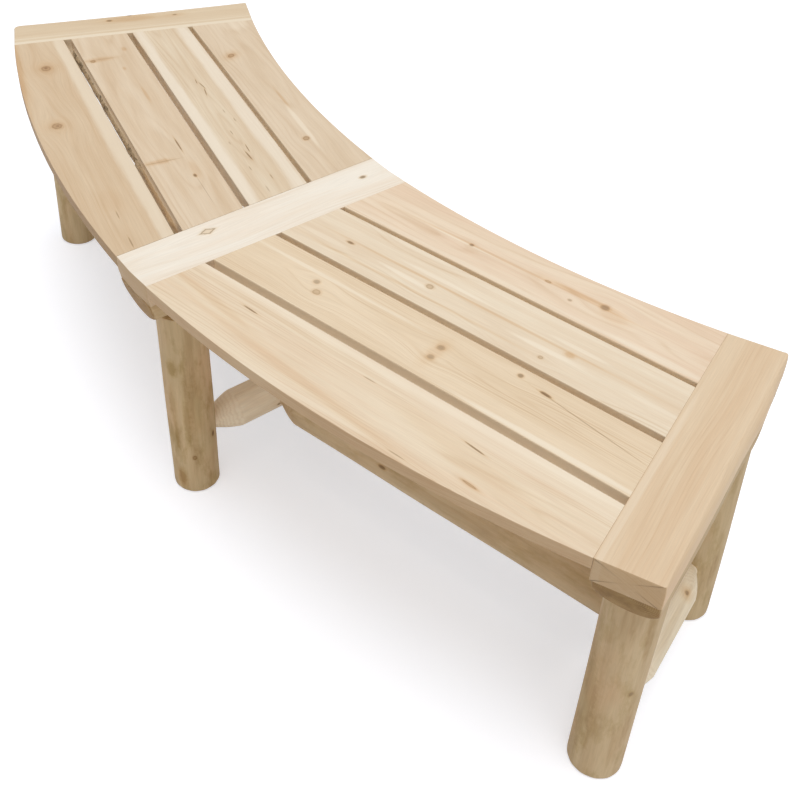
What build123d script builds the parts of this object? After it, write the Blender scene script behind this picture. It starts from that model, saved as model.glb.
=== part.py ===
from build123d import *

import os
from dataclasses import dataclass
from math import asin, cos, radians, sin, sqrt

# A log bench with a swept seat. The seat is two slatted halves that meet at a centre board and
# turn towards +Y, so its long edge bows out on the -Y side. Each of the three cross boards lies
# on a half-log rail, each rail stands on two log legs, and log stretchers tie the legs together.
# The slats butt against the cross boards, flush on top, and hang on dowels.
# Millimetres. +X runs to the right end, +Z up, z = 0 is the floor, and the origin is below the
# middle of the seat's outline. "Outer" is the bowed -Y side and "inner" the hollow +Y side.

# Seat
SEAT_HEIGHT = 457.0
SLAT_THICKNESS = 19.0
BOARD_THICKNESS = 38.0         # cross boards, flush with the slats on top
HALF_TURN = 12.4               # degrees that each half of the seat turns towards +Y
SLAT_RUN = 749.0               # middle of the bench to the end board's seam, along a half
OUTER_SLAT_EDGE = 77.0         # straight edge of the outer slat, from the line through the middle
SLAT_GAPS = (13.5, 10.2, 8.2)
MIDDLE_SLAT_WIDTHS = (101.8, 103.5)
CENTRE_BOARD_WIDTH = 86.0
END_BOARD_WIDTH = 82.0
END_BOARD_TURN = 8.3           # degrees that the end board turns beyond square with the slats
END_BOARD_SWELL = 4.0          # how far the end board's free edge swells at its middle
BOARD_CORNER_RADIUS = 3.0
EDGE_EASE = 1.0

# The bowed and the hollow edge are arcs. A crown is the point of its arc nearest the -Y side,
# placed along the half from the middle of the slat run, and across it from the same line.
OUTER_ARC_RADIUS = 2060.0
OUTER_CROWN_ALONG = 10.5
OUTER_CROWN_ACROSS = -43.5
INNER_ARC_RADIUS = 1650.0
INNER_CROWN_ALONG = 37.5
INNER_CROWN_ACROSS = 407.5

# Half-log rails, as wide as the cross boards on them
RAIL_RADIUS = 47.5
RAIL_SETBACK = 3.0             # rail end inside the board end, at the rail's flat top
RAIL_END_UNDERCUT = 12.0       # how far the rail's end slants back to its round underside

# Legs
LEG_RADIUS = 37.0
LEG_INSET = 71.0               # leg axis to the end of the board above
LEG_SHOULDER_CHAMFER = 6.0
LEG_FOOT_EASE = 3.0
LEG_SEAT_DEPTH = 4.0           # flat cut in the rail's round underside for the leg's shoulder
LEG_TENON_RADIUS = 19.0
LEG_TENON_LENGTH = 32.0
# How far the foot of each end leg stands from plumb, towards the end and towards +Y
FOOT_OFFSETS = {
    "left": {"outer": (-7.0, -15.0), "inner": (0.0, 0.0)},
    "right": {"outer": (0.0, 0.0), "inner": (12.0, 5.0)},
}

# Stretchers
STRETCHER_HEIGHT = 112.0
CROSS_STRETCHER_RADIUS = 32.0
LONG_STRETCHER_BUTT_RADIUS = 32.0
LONG_STRETCHER_TIP_RADIUS = 28.0
STRETCHER_TENON_RADIUS = 16.0
CROSS_TENON_DEPTH = 30.0
LONG_TENON_DEPTH = 21.0
CROSS_TAPER = 42.0
LONG_TAPER = 24.0
TAPER_CROWN = 2.5              # how far the middle of a taper swells beyond a straight cone

# Hidden fasteners
DOWEL_RADIUS = 4.0
DOWEL_LENGTH = 40.0
BOARD_SCREW_LENGTH = 60.0
BOARD_SCREW_BITE = 20.0        # how far the point runs into the board
BOARD_SCREW_RADIUS = 2.5
BOARD_SCREW_HEAD_RADIUS = 5.0
BOARD_SCREW_INSET = 24.0       # outermost screws to the rail's end
LEG_SCREW_LENGTH = 90.0
LEG_SCREW_RADIUS = 3.0
LEG_SCREW_HEAD_RADIUS = 6.0
LEG_SCREW_SINK = 0.5           # head below the rail's flat top
SCREW_POINT = 6.0

JOINT_SLACK = 0.15             # radial clearance of tenons, dowels and screws
END_RELIEF = 1.0               # room left beyond the end of a tenon or dowel

RAIL_TOP = SEAT_HEIGHT - BOARD_THICKNESS
SHOULDER_HEIGHT = RAIL_TOP - RAIL_RADIUS + LEG_SEAT_DEPTH
REACH = 2 * SLAT_RUN           # a length well beyond the seat, for cutting shapes


@dataclass
class Line2D:
    """A straight line across a half of the seat, in the half's (along, across) coordinates."""

    point: Vector
    turn: float

    @property
    def direction(self) -> Vector:
        return Vector(-sin(radians(self.turn)), cos(radians(self.turn)))

    @property
    def normal(self) -> Vector:
        return Vector(cos(radians(self.turn)), sin(radians(self.turn)))

    def at_across(self, across: float) -> Vector:
        return self.point + self.direction * ((across - self.point.Y) / self.direction.Y)

    def moved(self, distance: float) -> "Line2D":
        return Line2D(self.point + self.normal * distance, self.turn)


@dataclass
class EdgeArc:
    """An arc edge of the seat, in the half's coordinates."""

    crown: Vector
    radius: float

    @property
    def centre(self) -> Vector:
        return self.crown + Vector(0, self.radius)

    def meets(self, line: Line2D) -> Vector:
        """Where the line, followed towards +Y, enters the arc's circle."""
        offset = line.point - self.centre
        middle = offset.dot(line.direction)
        return line.point - line.direction * (middle + sqrt(middle**2 - offset.length**2 + self.radius**2))


OUTER_ARC = EdgeArc(Vector(SLAT_RUN / 2 + OUTER_CROWN_ALONG, OUTER_CROWN_ACROSS), OUTER_ARC_RADIUS)
INNER_ARC = EdgeArc(Vector(SLAT_RUN / 2 + INNER_CROWN_ALONG, INNER_CROWN_ACROSS), INNER_ARC_RADIUS)

CENTRE_LINE = Line2D(Vector(0, 0), -HALF_TURN)
CENTRE_SEAM = CENTRE_LINE.moved(CENTRE_BOARD_WIDTH / 2)
END_SEAM = Line2D(Vector(SLAT_RUN, 0), END_BOARD_TURN)
END_MIDDLE = END_SEAM.moved(END_BOARD_WIDTH / 2)
END_EDGE = END_SEAM.moved(END_BOARD_WIDTH)

# The half's plane is turned about the middle of the bench, and set back so that the origin lies
# midway between the outer end of the centre board and the inner corner of the end board.
turned = Plane((0, 0, 0), x_dir=(cos(radians(HALF_TURN)), sin(radians(HALF_TURN)), 0))
front_edge = turned.from_local_coords(OUTER_ARC.meets(CENTRE_LINE)).Y
back_edge = turned.from_local_coords(INNER_ARC.meets(END_EDGE)).Y
half = Plane((0, -(front_edge + back_edge) / 2, 0), x_dir=turned.x_dir)
half_rail_top = half.offset(RAIL_TOP)
half_slat_bottom = half.offset(SEAT_HEIGHT - SLAT_THICKNESS)


@dataclass
class Rail:
    """The place of a cross board and its rail: a plane on the rail's flat top, y along the log."""

    plane: Plane
    board_length: float
    width: float

    @property
    def length(self) -> float:
        return self.board_length - 2 * RAIL_SETBACK

    @property
    def leg_places(self) -> tuple[float, float]:
        reach = self.board_length / 2 - LEG_INSET
        return -reach, reach

    @property
    def board_screws(self) -> list[Plane]:
        """Planes at the heads of the board screws, with z up towards the board."""
        depth = BOARD_SCREW_LENGTH - BOARD_SCREW_BITE
        reach = self.length / 2 - BOARD_SCREW_INSET
        return [Plane(self.plane.from_local_coords((0, place, -depth))) for place in (-reach, 0, reach)]


def rail_under(line: Line2D, width: float) -> Rail:
    """The rail under the board whose middle runs along the line, from arc to arc."""
    start = half_rail_top.from_local_coords(OUTER_ARC.meets(line))
    end = half_rail_top.from_local_coords(INNER_ARC.meets(line))
    across = (end - start).normalized().cross(Vector(0, 0, 1))
    return Rail(Plane((start + end) / 2, x_dir=across), (end - start).length, width)


CENTRE_RAIL = rail_under(CENTRE_LINE, CENTRE_BOARD_WIDTH)
END_RAIL = rail_under(END_MIDDLE, END_BOARD_WIDTH)


@dataclass
class Leg:
    """A leg's place along its rail, and how far its foot stands from plumb."""

    rail: Rail
    place: float
    foot_out: float = 0.0
    foot_in: float = 0.0

    @property
    def top(self) -> Vector:
        return self.rail.plane.from_local_coords((0, self.place, 0))

    @property
    def axis(self) -> Plane:
        """Plane at the foot, with its z along the leg."""
        foot = Vector(self.top.X + self.foot_out, self.top.Y + self.foot_in, 0)
        return Plane(foot, z_dir=self.top - foot)

    @property
    def shoulder(self) -> float:
        """Distance along the axis from the floor to the shoulder."""
        return SHOULDER_HEIGHT / self.axis.z_dir.Z

    @property
    def screw(self) -> Plane:
        """Plane at the head of the screw, with z down the leg."""
        return Plane(self.top - Vector(0, 0, LEG_SCREW_SINK), z_dir=-self.axis.z_dir)

    def at_height(self, height: float) -> Vector:
        return self.axis.origin + self.axis.z_dir * (height / self.axis.z_dir.Z)


@dataclass
class Host:
    """A log that holds a stretcher's tenon: a point on its axis, its direction and radius."""

    point: Vector
    direction: Vector
    radius: float
    tenon_depth: float

    @property
    def tip(self) -> float:
        """Distance from the axis to the end of the tenon."""
        return self.radius - self.tenon_depth

    def shoulder(self, direction: Vector) -> float:
        """Distance from the axis at which a tenon that leaves along direction clears the log."""
        lean = asin(abs(self.direction.dot(direction)))
        return (self.radius + STRETCHER_TENON_RADIUS * sin(lean)) / cos(lean)


@dataclass
class Stretcher:
    """A log between two hosts, with a tenon and a pencil taper at each end."""

    start: Host
    end: Host
    start_radius: float
    end_radius: float
    taper: float

    @property
    def direction(self) -> Vector:
        return (self.end.point - self.start.point).normalized()

    @property
    def length(self) -> float:
        return (self.end.point - self.start.point).length

    def mortises(self) -> tuple[Plane, Plane]:
        """Planes at the bottoms of the mortises in both hosts, with z out of their mouths."""
        ends = ((self.start, self.direction), (self.end, -self.direction))
        return tuple(
            Plane(host.point + outwards * (host.tip - END_RELIEF), z_dir=outwards)
            for host, outwards in ends
        )


def trim_to_seat() -> None:
    """Trim the current sketch to the bowed and the hollow edge of the seat."""
    with Locations(OUTER_ARC.centre):
        Circle(OUTER_ARC.radius, mode=Mode.INTERSECT)
    with Locations(INNER_ARC.centre):
        Circle(INNER_ARC.radius, mode=Mode.SUBTRACT)


def bore(plane: Plane, radius: float, depth: float) -> None:
    """Cut a round hole from the plane's origin along its z."""
    with BuildSketch(plane) as mouth:
        Circle(radius)
    extrude(mouth.sketch, amount=depth, mode=Mode.SUBTRACT)


def screw(plane: Plane, length: float, head: float, shank: float, slack: float, mode: Mode) -> None:
    """A countersunk screw with its head at the plane's origin and its point along the plane's z."""
    with BuildSketch(Plane(plane.origin, x_dir=plane.z_dir, z_dir=plane.x_dir)) as side:
        Polygon(
            (0, 0),
            (0, head + slack),
            (slack, head + slack),
            (head - shank + slack, shank + slack),
            (length - SCREW_POINT, shank + slack),
            (length + slack, slack),
            (length + slack, 0),
            align=None,
        )
    revolve(side.sketch, axis=Axis(plane.origin, plane.z_dir), mode=mode)


def add_board_screws(rail: Rail, slack: float = 0.0, mode: Mode = Mode.ADD) -> None:
    """Add or cut the screws that run up through a rail into its board."""
    for plane in rail.board_screws:
        screw(plane, BOARD_SCREW_LENGTH, BOARD_SCREW_HEAD_RADIUS, BOARD_SCREW_RADIUS, slack, mode)


def add_leg_screw(leg: Leg, slack: float = 0.0, mode: Mode = Mode.ADD) -> None:
    """Add or cut the screw that runs down through a rail into a leg's tenon."""
    screw(leg.screw, LEG_SCREW_LENGTH, LEG_SCREW_HEAD_RADIUS, LEG_SCREW_RADIUS, slack, mode)


def slat_strips() -> list[tuple[float, float]]:
    """Low and high edge of each slat across the half, before the arcs trim the outermost two."""
    strips = [(-REACH, OUTER_SLAT_EDGE)]
    edge = OUTER_SLAT_EDGE
    for gap, width in zip(SLAT_GAPS, MIDDLE_SLAT_WIDTHS):
        strips.append((edge + gap, edge + gap + width))
        edge += gap + width
    strips.append((edge + SLAT_GAPS[-1], REACH))
    return strips


def dowel_planes(seam: Line2D, strip: tuple[float, float]) -> list[Plane]:
    """Planes across the two dowels of one slat end, a quarter of its width from each edge."""
    low = max(strip[0], OUTER_ARC.meets(seam).Y)
    high = min(strip[1], INNER_ARC.meets(seam).Y)
    level = half.offset(SEAT_HEIGHT - SLAT_THICKNESS / 2)
    outwards = level.from_local_coords(seam.normal) - level.origin
    return [
        Plane(level.from_local_coords(seam.at_across(across)), z_dir=outwards)
        for across in (low + (high - low) / 4, high - (high - low) / 4)
    ]


def dowel_holes(planes: list[Plane]) -> None:
    """Cut the holes of dowels that cross a seam, to either side of it."""
    depth = DOWEL_LENGTH / 2 + END_RELIEF
    for plane in planes:
        bore(plane.offset(-depth), DOWEL_RADIUS + JOINT_SLACK, 2 * depth)


def build_slat(strip: tuple[float, float]) -> Part:
    """A slat of the right half, cut to both seams and to the seat's edge arcs."""
    low, high = strip
    with BuildPart() as slat:
        with BuildSketch(half_slat_bottom):
            Polygon(
                CENTRE_SEAM.at_across(-REACH),
                END_SEAM.at_across(-REACH),
                END_SEAM.at_across(REACH),
                CENTRE_SEAM.at_across(REACH),
                align=None,
            )
            with Locations((-REACH, low)):
                Rectangle(3 * REACH, high - low, align=(Align.MIN, Align.MIN), mode=Mode.INTERSECT)
            trim_to_seat()
        extrude(amount=SLAT_THICKNESS)
        chamfer(slat.edges().group_by(Axis.Z)[-1], EDGE_EASE)
        dowel_holes(dowel_planes(CENTRE_SEAM, strip) + dowel_planes(END_SEAM, strip))
    return slat.part


def build_centre_board(dowels: list[Plane]) -> Part:
    """The board between the halves: one side of it to its seam, then its mirror image."""
    with BuildPart() as board:
        with BuildSketch(half_rail_top):
            Polygon(
                CENTRE_LINE.at_across(-REACH),
                CENTRE_SEAM.at_across(-REACH),
                CENTRE_SEAM.at_across(REACH),
                CENTRE_LINE.at_across(REACH),
                align=None,
            )
            trim_to_seat()
        extrude(amount=BOARD_THICKNESS)
        dowel_holes(dowels)
        mirror(about=Plane.YZ)
        fillet(board.edges().filter_by(Axis.Z).filter_by(at_seam), BOARD_CORNER_RADIUS)
        chamfer(board.edges().group_by(Axis.Z)[-1], EDGE_EASE)
        add_board_screws(CENTRE_RAIL, JOINT_SLACK, Mode.SUBTRACT)
    return board.part


def at_seam(edge: Edge) -> bool:
    """Whether an upright edge of the centre board stands at one of its two seams."""
    return abs(edge.center().X) > CENTRE_BOARD_WIDTH / 4


def build_end_board(dowels: list[Plane]) -> Part:
    """The board across the end of the right half, its free edge swelling to an arc."""
    front, back = OUTER_ARC.meets(END_EDGE), INNER_ARC.meets(END_EDGE)
    swell = (front + back) / 2 + END_EDGE.normal * END_BOARD_SWELL
    beyond = END_EDGE.direction * END_BOARD_WIDTH
    with BuildPart() as board:
        with BuildSketch(half_rail_top):
            with BuildLine():
                ThreePointArc(front, swell, back)
                Polyline(
                    back,
                    back + beyond,
                    INNER_ARC.meets(END_SEAM) + beyond,
                    OUTER_ARC.meets(END_SEAM) - beyond,
                    front - beyond,
                    front,
                )
            make_face()
            trim_to_seat()
        extrude(amount=BOARD_THICKNESS)
        fillet(board.edges().filter_by(Axis.Z), BOARD_CORNER_RADIUS)
        chamfer(board.edges().group_by(Axis.Z)[-1], EDGE_EASE)
        dowel_holes(dowels)
        add_board_screws(END_RAIL, JOINT_SLACK, Mode.SUBTRACT)
    return board.part


def build_rail(rail: Rail, legs: list[Leg]) -> Part:
    """A half log, flat side up, planed to its board's width, its ends slanting back underneath."""
    end, undercut = rail.length / 2, rail.length / 2 - RAIL_END_UNDERCUT
    with BuildPart() as log:
        with BuildSketch(Plane(rail.plane.origin, x_dir=rail.plane.x_dir, z_dir=-rail.plane.y_dir)):
            Circle(RAIL_RADIUS)
            Rectangle(rail.width, RAIL_RADIUS, align=(Align.CENTER, Align.MAX), mode=Mode.INTERSECT)
        extrude(amount=end, both=True)
        with BuildSketch(Plane(rail.plane.origin, x_dir=rail.plane.y_dir, z_dir=rail.plane.x_dir)):
            Polygon((-end, 0), (-undercut, -RAIL_RADIUS), (undercut, -RAIL_RADIUS), (end, 0), align=None)
        extrude(amount=2 * RAIL_RADIUS, both=True, mode=Mode.INTERSECT)
        for leg in legs:
            bore(leg.axis, LEG_RADIUS + JOINT_SLACK, leg.shoulder)
            tenon_room = LEG_TENON_LENGTH + END_RELIEF
            bore(leg.axis.offset(leg.shoulder), LEG_TENON_RADIUS + JOINT_SLACK, tenon_room)
            add_leg_screw(leg, JOINT_SLACK, Mode.SUBTRACT)
            bore(leg.screw.offset(-LEG_SCREW_HEAD_RADIUS), LEG_SCREW_HEAD_RADIUS + JOINT_SLACK,
                 LEG_SCREW_HEAD_RADIUS)
        add_board_screws(rail, JOINT_SLACK, Mode.SUBTRACT)
        for plane in rail.board_screws:
            bore(plane.offset(-RAIL_RADIUS), BOARD_SCREW_HEAD_RADIUS + JOINT_SLACK, RAIL_RADIUS)
    return log.part


def build_leg(leg: Leg, mortise: Plane) -> Part:
    """A log leg with a round tenon above its chamfered shoulder, cut level at the floor."""
    with BuildPart() as log:
        with BuildSketch(leg.axis.offset(-LEG_RADIUS)):
            Circle(LEG_RADIUS)
        extrude(amount=LEG_RADIUS + leg.shoulder)
        chamfer(log.faces().sort_by(Axis.Z)[-1].edges(), LEG_SHOULDER_CHAMFER)
        with BuildSketch(leg.axis.offset(leg.shoulder)):
            Circle(LEG_TENON_RADIUS)
        extrude(amount=LEG_TENON_LENGTH)
        split(bisect_by=Plane.XY, keep=Keep.TOP)
        fillet(log.edges().group_by(Axis.Z)[0], LEG_FOOT_EASE)
        bore(mortise, STRETCHER_TENON_RADIUS + JOINT_SLACK, 2 * LEG_RADIUS)
        add_leg_screw(leg, JOINT_SLACK, Mode.SUBTRACT)
    return log.part


def build_stretcher(stretcher: Stretcher, mortises: list[Plane]) -> Part:
    """A round log with tapered ends and tenons, bored for the stretchers that it carries."""
    origin, direction = stretcher.start.point, stretcher.direction
    tenon = STRETCHER_TENON_RADIUS
    shoulders = (stretcher.start.shoulder(direction), stretcher.length - stretcher.end.shoulder(direction))
    tips = (stretcher.start.tip, stretcher.length - stretcher.end.tip)
    full = (shoulders[0] + stretcher.taper, shoulders[1] - stretcher.taper)
    radii = (stretcher.start_radius, stretcher.end_radius)
    with BuildPart() as log:
        with BuildSketch(Plane(origin, x_dir=direction, z_dir=direction.cross(Vector(0, 0, 1)))):
            with BuildLine():
                Polyline((shoulders[0], tenon), (tips[0], tenon), (tips[0], 0))
                Line((tips[0], 0), (tips[1], 0))
                Polyline((tips[1], 0), (tips[1], tenon), (shoulders[1], tenon))
                Line((full[0], radii[0]), (full[1], radii[1]))
                for shoulder, widest, radius in zip(shoulders, full, radii):
                    crowned = (tenon + radius) / 2 + TAPER_CROWN
                    ThreePointArc((shoulder, tenon), ((shoulder + widest) / 2, crowned), (widest, radius))
            make_face()
        revolve(axis=Axis(origin, direction))
        for mortise in mortises:
            bore(mortise, STRETCHER_TENON_RADIUS + JOINT_SLACK, 2 * CROSS_STRETCHER_RADIUS)
    return log.part


def cross_stretcher(legs: list[Leg]) -> Stretcher:
    """The stretcher from the outer to the inner leg of a pair."""
    hosts = [Host(leg.at_height(STRETCHER_HEIGHT), leg.axis.z_dir, LEG_RADIUS, CROSS_TENON_DEPTH)
             for leg in legs]
    return Stretcher(*hosts, CROSS_STRETCHER_RADIUS, CROSS_STRETCHER_RADIUS, CROSS_TAPER)


def long_stretcher(start: Stretcher, end: Stretcher) -> Stretcher:
    """The stretcher from the middle of the centre cross stretcher to the middle of an end one."""
    hosts = [Host((cross.start.point + cross.end.point) / 2, cross.direction, CROSS_STRETCHER_RADIUS,
                  LONG_TENON_DEPTH) for cross in (start, end)]
    return Stretcher(*hosts, LONG_STRETCHER_BUTT_RADIUS, LONG_STRETCHER_TIP_RADIUS, LONG_TAPER)


def mirror_plane(plane: Plane) -> Plane:
    """The mirror image of a hole's plane at the other end of the bench."""
    origin, outwards = plane.origin, plane.z_dir
    return Plane((-origin.X, origin.Y, origin.Z), z_dir=(-outwards.X, outwards.Y, outwards.Z))


def keep(part: Part, name: str, mirrored: bool = False) -> None:
    """Label a finished piece and write its STEP file."""
    finished = mirror(part, about=Plane.YZ) if mirrored else part
    finished.label = name
    export_step(finished, f"parts/{name}.step")


os.makedirs("parts", exist_ok=True)

# Seat: the slats and the end board of the right half, their mirror images, and the centre board
strips = slat_strips()
centre_dowels = [plane for strip in strips for plane in dowel_planes(CENTRE_SEAM, strip)]
end_dowels = [plane for strip in strips for plane in dowel_planes(END_SEAM, strip)]
seat_pieces = {f"slat_{number}": build_slat(strip) for number, strip in enumerate(strips, start=1)}
seat_pieces["end_board"] = build_end_board(end_dowels)
for name, piece in seat_pieces.items():
    keep(piece, f"right_{name}")
    keep(piece, f"left_{name}", mirrored=True)
keep(build_centre_board(centre_dowels), "centre_board")

# Centre trestle, and the end trestles, which are made at the right end and mirrored to the left
centre_legs = [Leg(CENTRE_RAIL, place) for place in CENTRE_RAIL.leg_places]
centre_cross = cross_stretcher(centre_legs)
end_legs = {
    side: [Leg(END_RAIL, place, *offset) for place, offset in zip(END_RAIL.leg_places, offsets.values())]
    for side, offsets in FOOT_OFFSETS.items()
}
long_stretchers = {}
for side, legs in end_legs.items():
    mirrored = side == "left"
    cross = cross_stretcher(legs)
    long_stretchers[side] = long_stretcher(centre_cross, cross)
    keep(build_rail(END_RAIL, legs), f"{side}_rail", mirrored)
    for name, leg, mortise in zip(FOOT_OFFSETS[side], legs, cross.mortises()):
        keep(build_leg(leg, mortise), f"{side}_{name}_leg", mirrored)
    keep(build_stretcher(cross, [long_stretchers[side].mortises()[1]]), f"{side}_cross_stretcher", mirrored)
    keep(build_stretcher(long_stretchers[side], []), f"{side}_long_stretcher", mirrored)

keep(build_rail(CENTRE_RAIL, centre_legs), "centre_rail")
for name, leg, mortise in zip(("outer", "inner"), centre_legs, centre_cross.mortises()):
    keep(build_leg(leg, mortise), f"centre_{name}_leg")
centre_mortises = [
    long_stretchers["right"].mortises()[0],
    mirror_plane(long_stretchers["left"].mortises()[0]),
]
keep(build_stretcher(centre_cross, centre_mortises), "centre_cross_stretcher")

# Fasteners, each kind a group of separate solids
with BuildPart() as slat_dowels:
    for plane in centre_dowels + end_dowels:
        with BuildSketch(plane.offset(-DOWEL_LENGTH / 2)):
            Circle(DOWEL_RADIUS)
        extrude(amount=DOWEL_LENGTH)
    mirror(about=Plane.YZ)
keep(slat_dowels.part, "slat_dowels")

with BuildPart() as board_screws:
    add_board_screws(END_RAIL)
    mirror(about=Plane.YZ)
    add_board_screws(CENTRE_RAIL)
keep(board_screws.part, "board_screws")

with BuildPart() as leg_screws:
    for leg in end_legs["left"]:
        add_leg_screw(leg)
    mirror(about=Plane.YZ, mode=Mode.REPLACE)
    for leg in centre_legs + end_legs["right"]:
        add_leg_screw(leg)
keep(leg_screws.part, "leg_screws")
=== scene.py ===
"""The looks of a curved log bench: sawn seat boards on half-log rails, legs and stretchers."""

import logging
from collections.abc import Callable, Mapping, Sequence
from dataclasses import dataclass
from enum import Enum
from math import cos, radians, sin, sqrt, tan

import bpy
import numpy as np
from bpy.types import Material, NodeSocket, Object, World
from mathutils import Matrix, Vector


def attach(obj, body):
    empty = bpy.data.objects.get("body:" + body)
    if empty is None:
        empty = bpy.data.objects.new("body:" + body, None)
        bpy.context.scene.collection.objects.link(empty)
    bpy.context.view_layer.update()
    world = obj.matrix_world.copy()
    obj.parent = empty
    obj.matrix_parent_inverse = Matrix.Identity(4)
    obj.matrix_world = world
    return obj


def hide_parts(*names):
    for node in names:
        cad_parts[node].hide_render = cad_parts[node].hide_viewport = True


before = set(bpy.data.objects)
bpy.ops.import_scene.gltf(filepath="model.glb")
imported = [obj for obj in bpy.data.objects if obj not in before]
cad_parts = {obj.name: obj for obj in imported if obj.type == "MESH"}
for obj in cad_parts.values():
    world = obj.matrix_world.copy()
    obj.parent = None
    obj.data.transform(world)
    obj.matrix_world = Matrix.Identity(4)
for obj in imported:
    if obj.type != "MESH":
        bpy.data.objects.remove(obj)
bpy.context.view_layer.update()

LOG = logging.getLogger("log_bench")
Array = np.ndarray
Row = tuple[float, float, float]
MM = 0.001

# Levels and sizes in millimetres, in the bench's own frame: z = 0 is the floor
SEAT_TOP = 457.0
SLAT_THICKNESS = 19.0
BOARD_THICKNESS = 38.0
RAIL_TOP = SEAT_TOP - BOARD_THICKNESS
# About how long a slat and a cross board are, to space the rows of their surfaces
SLAT_RUN = 680.0
BOARD_RUN = 450.0
# A half's turn away from the bench's length, and how far its plane starts on the bowed side
HALF_TURN = 12.4
HALF_SETBACK = 296.634


class Side(Enum):
    """The two halves of the bench, with the sign of their x."""

    RIGHT = 1
    LEFT = -1


def linear(code: str) -> tuple[float, float, float, float]:
    """Turns an sRGB hex colour into Blender's linear colour.

    Args:
        code: six hex digits after a hash mark.

    Returns:
        Linear red, green, blue and an alpha of one.
    """
    channels = np.array([int(code[start:start + 2], 16) for start in (1, 3, 5)]) / 255
    light = np.where(channels <= 0.04045, channels / 12.92, ((channels + 0.055) / 1.055) ** 2.4)
    return (*map(float, light), 1.0)


class Shading:
    """The nodes of a material or a world, empty at first."""

    def __init__(self, owner: Material | World) -> None:
        """Clears the owner's nodes.

        Args:
            owner: the material or world.
        """
        owner.use_nodes = True
        self.tree = owner.node_tree
        self.tree.nodes.clear()

    def add(self, kind: str, inputs: Mapping[int | str, object] | Sequence[object] = (),
            out: int | str = 0, **settings: object) -> NodeSocket | None:
        """Adds a node with its settings, and sets or links its inputs.

        Args:
            kind: the node's type name without its "ShaderNode".
            inputs: values or output sockets, for the first inputs in order or by name or number.
            out: the output that is wanted.
            settings: properties of the node.

        Returns:
            The wanted output, if the node has outputs.
        """
        node = self.tree.nodes.new(f"ShaderNode{kind}")
        for name, value in settings.items():
            setattr(node, name, value)
        for key, value in inputs.items() if isinstance(inputs, Mapping) else enumerate(inputs):
            if isinstance(value, NodeSocket):
                self.tree.links.new(value, node.inputs[key])
            else:
                node.inputs[key].default_value = value
        return node.outputs[out] if node.outputs else None

    def facing(self, direction: Row, low: float, high: float) -> NodeSocket:
        """How far a face looks along a direction, either way: 0 below low to 1 above high.

        Args:
            direction: a unit direction in the bench's frame.
            low: cosine where it starts.
            high: cosine where it is complete.

        Returns:
            The share.
        """
        cosine = self.add("VectorMath", (self.add("TexCoord", out="Normal"), direction), "Value",
                          operation="DOT_PRODUCT")
        size = self.add("Math", (cosine,), operation="ABSOLUTE")
        return self.add("MapRange", (size, low, high), interpolation_type="SMOOTHSTEP")

    def uneven(self, place: NodeSocket, shift: Row, scale: Row, detail: float,
               roughness: float = 0.5, out: str = "Fac") -> NodeSocket:
        """A noise with its own size along each axis.

        Args:
            place: coordinates in millimetres.
            shift: moves the pattern.
            scale: one over the pattern's size, for each axis.
            detail: octaves.
            roughness: weight of the finer octaves.
            out: "Fac" for a number, "Color" for three.

        Returns:
            The noise.
        """
        mapped = self.add("Mapping", {"Vector": place, "Location": shift, "Scale": scale})
        return self.add("TexNoise", {"Vector": mapped, "Scale": 1.0, "Detail": detail,
                                     "Roughness": roughness}, out)

    def seen(self) -> NodeSocket:
        """Tests for what the camera, a gloss or a glass sees, 0 or 1."""
        path = self.add("LightPath", out="Is Camera Ray").node.outputs
        first = self.add("Math", (path["Is Camera Ray"], path["Is Glossy Ray"]),
                         operation="MAXIMUM")
        return self.add("Math", (first, path["Is Transmission Ray"]), operation="MAXIMUM")


# Settings for blending two colours, and for tinting one by another
BLEND = {"out": 2, "data_type": "RGBA"}
TINT = BLEND | {"blend_type": "MULTIPLY"}


# ---------------------------------------------------------------- surfaces


def smooth_step(low: float, high: float, value: Array) -> Array:
    """Rises from 0 at low to 1 at high along 3t^2 - 2t^3.

    Args:
        low: where the rise starts.
        high: where it ends.
        value: the numbers to map.

    Returns:
        The risen values.
    """
    t = np.clip((value - low) / (high - low), 0, 1)
    return t * t * (3 - 2 * t)


def ripple(seed: int, *axes: tuple[Array, float], waves: int = 5) -> Array:
    """A smooth uneven field of about -1 to 1: a sum of plane waves of random direction and phase.

    Args:
        seed: picks the waves.
        axes: each coordinate array with its typical wavelength.
        waves: how many waves are added.

    Returns:
        The field on the broadcast grid of the axes.
    """
    rng = np.random.default_rng(seed)
    total = 0.0
    for _ in range(waves):
        phase = rng.uniform(0, 2 * np.pi)
        for values, wavelength in axes:
            turns = values * (2 * np.pi / wavelength)
            phase = phase + turns * rng.uniform(0.4, 1.3) * rng.choice((-1, 1))
        total = total + np.sin(phase)
    return total / sqrt(waves * 2)


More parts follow.
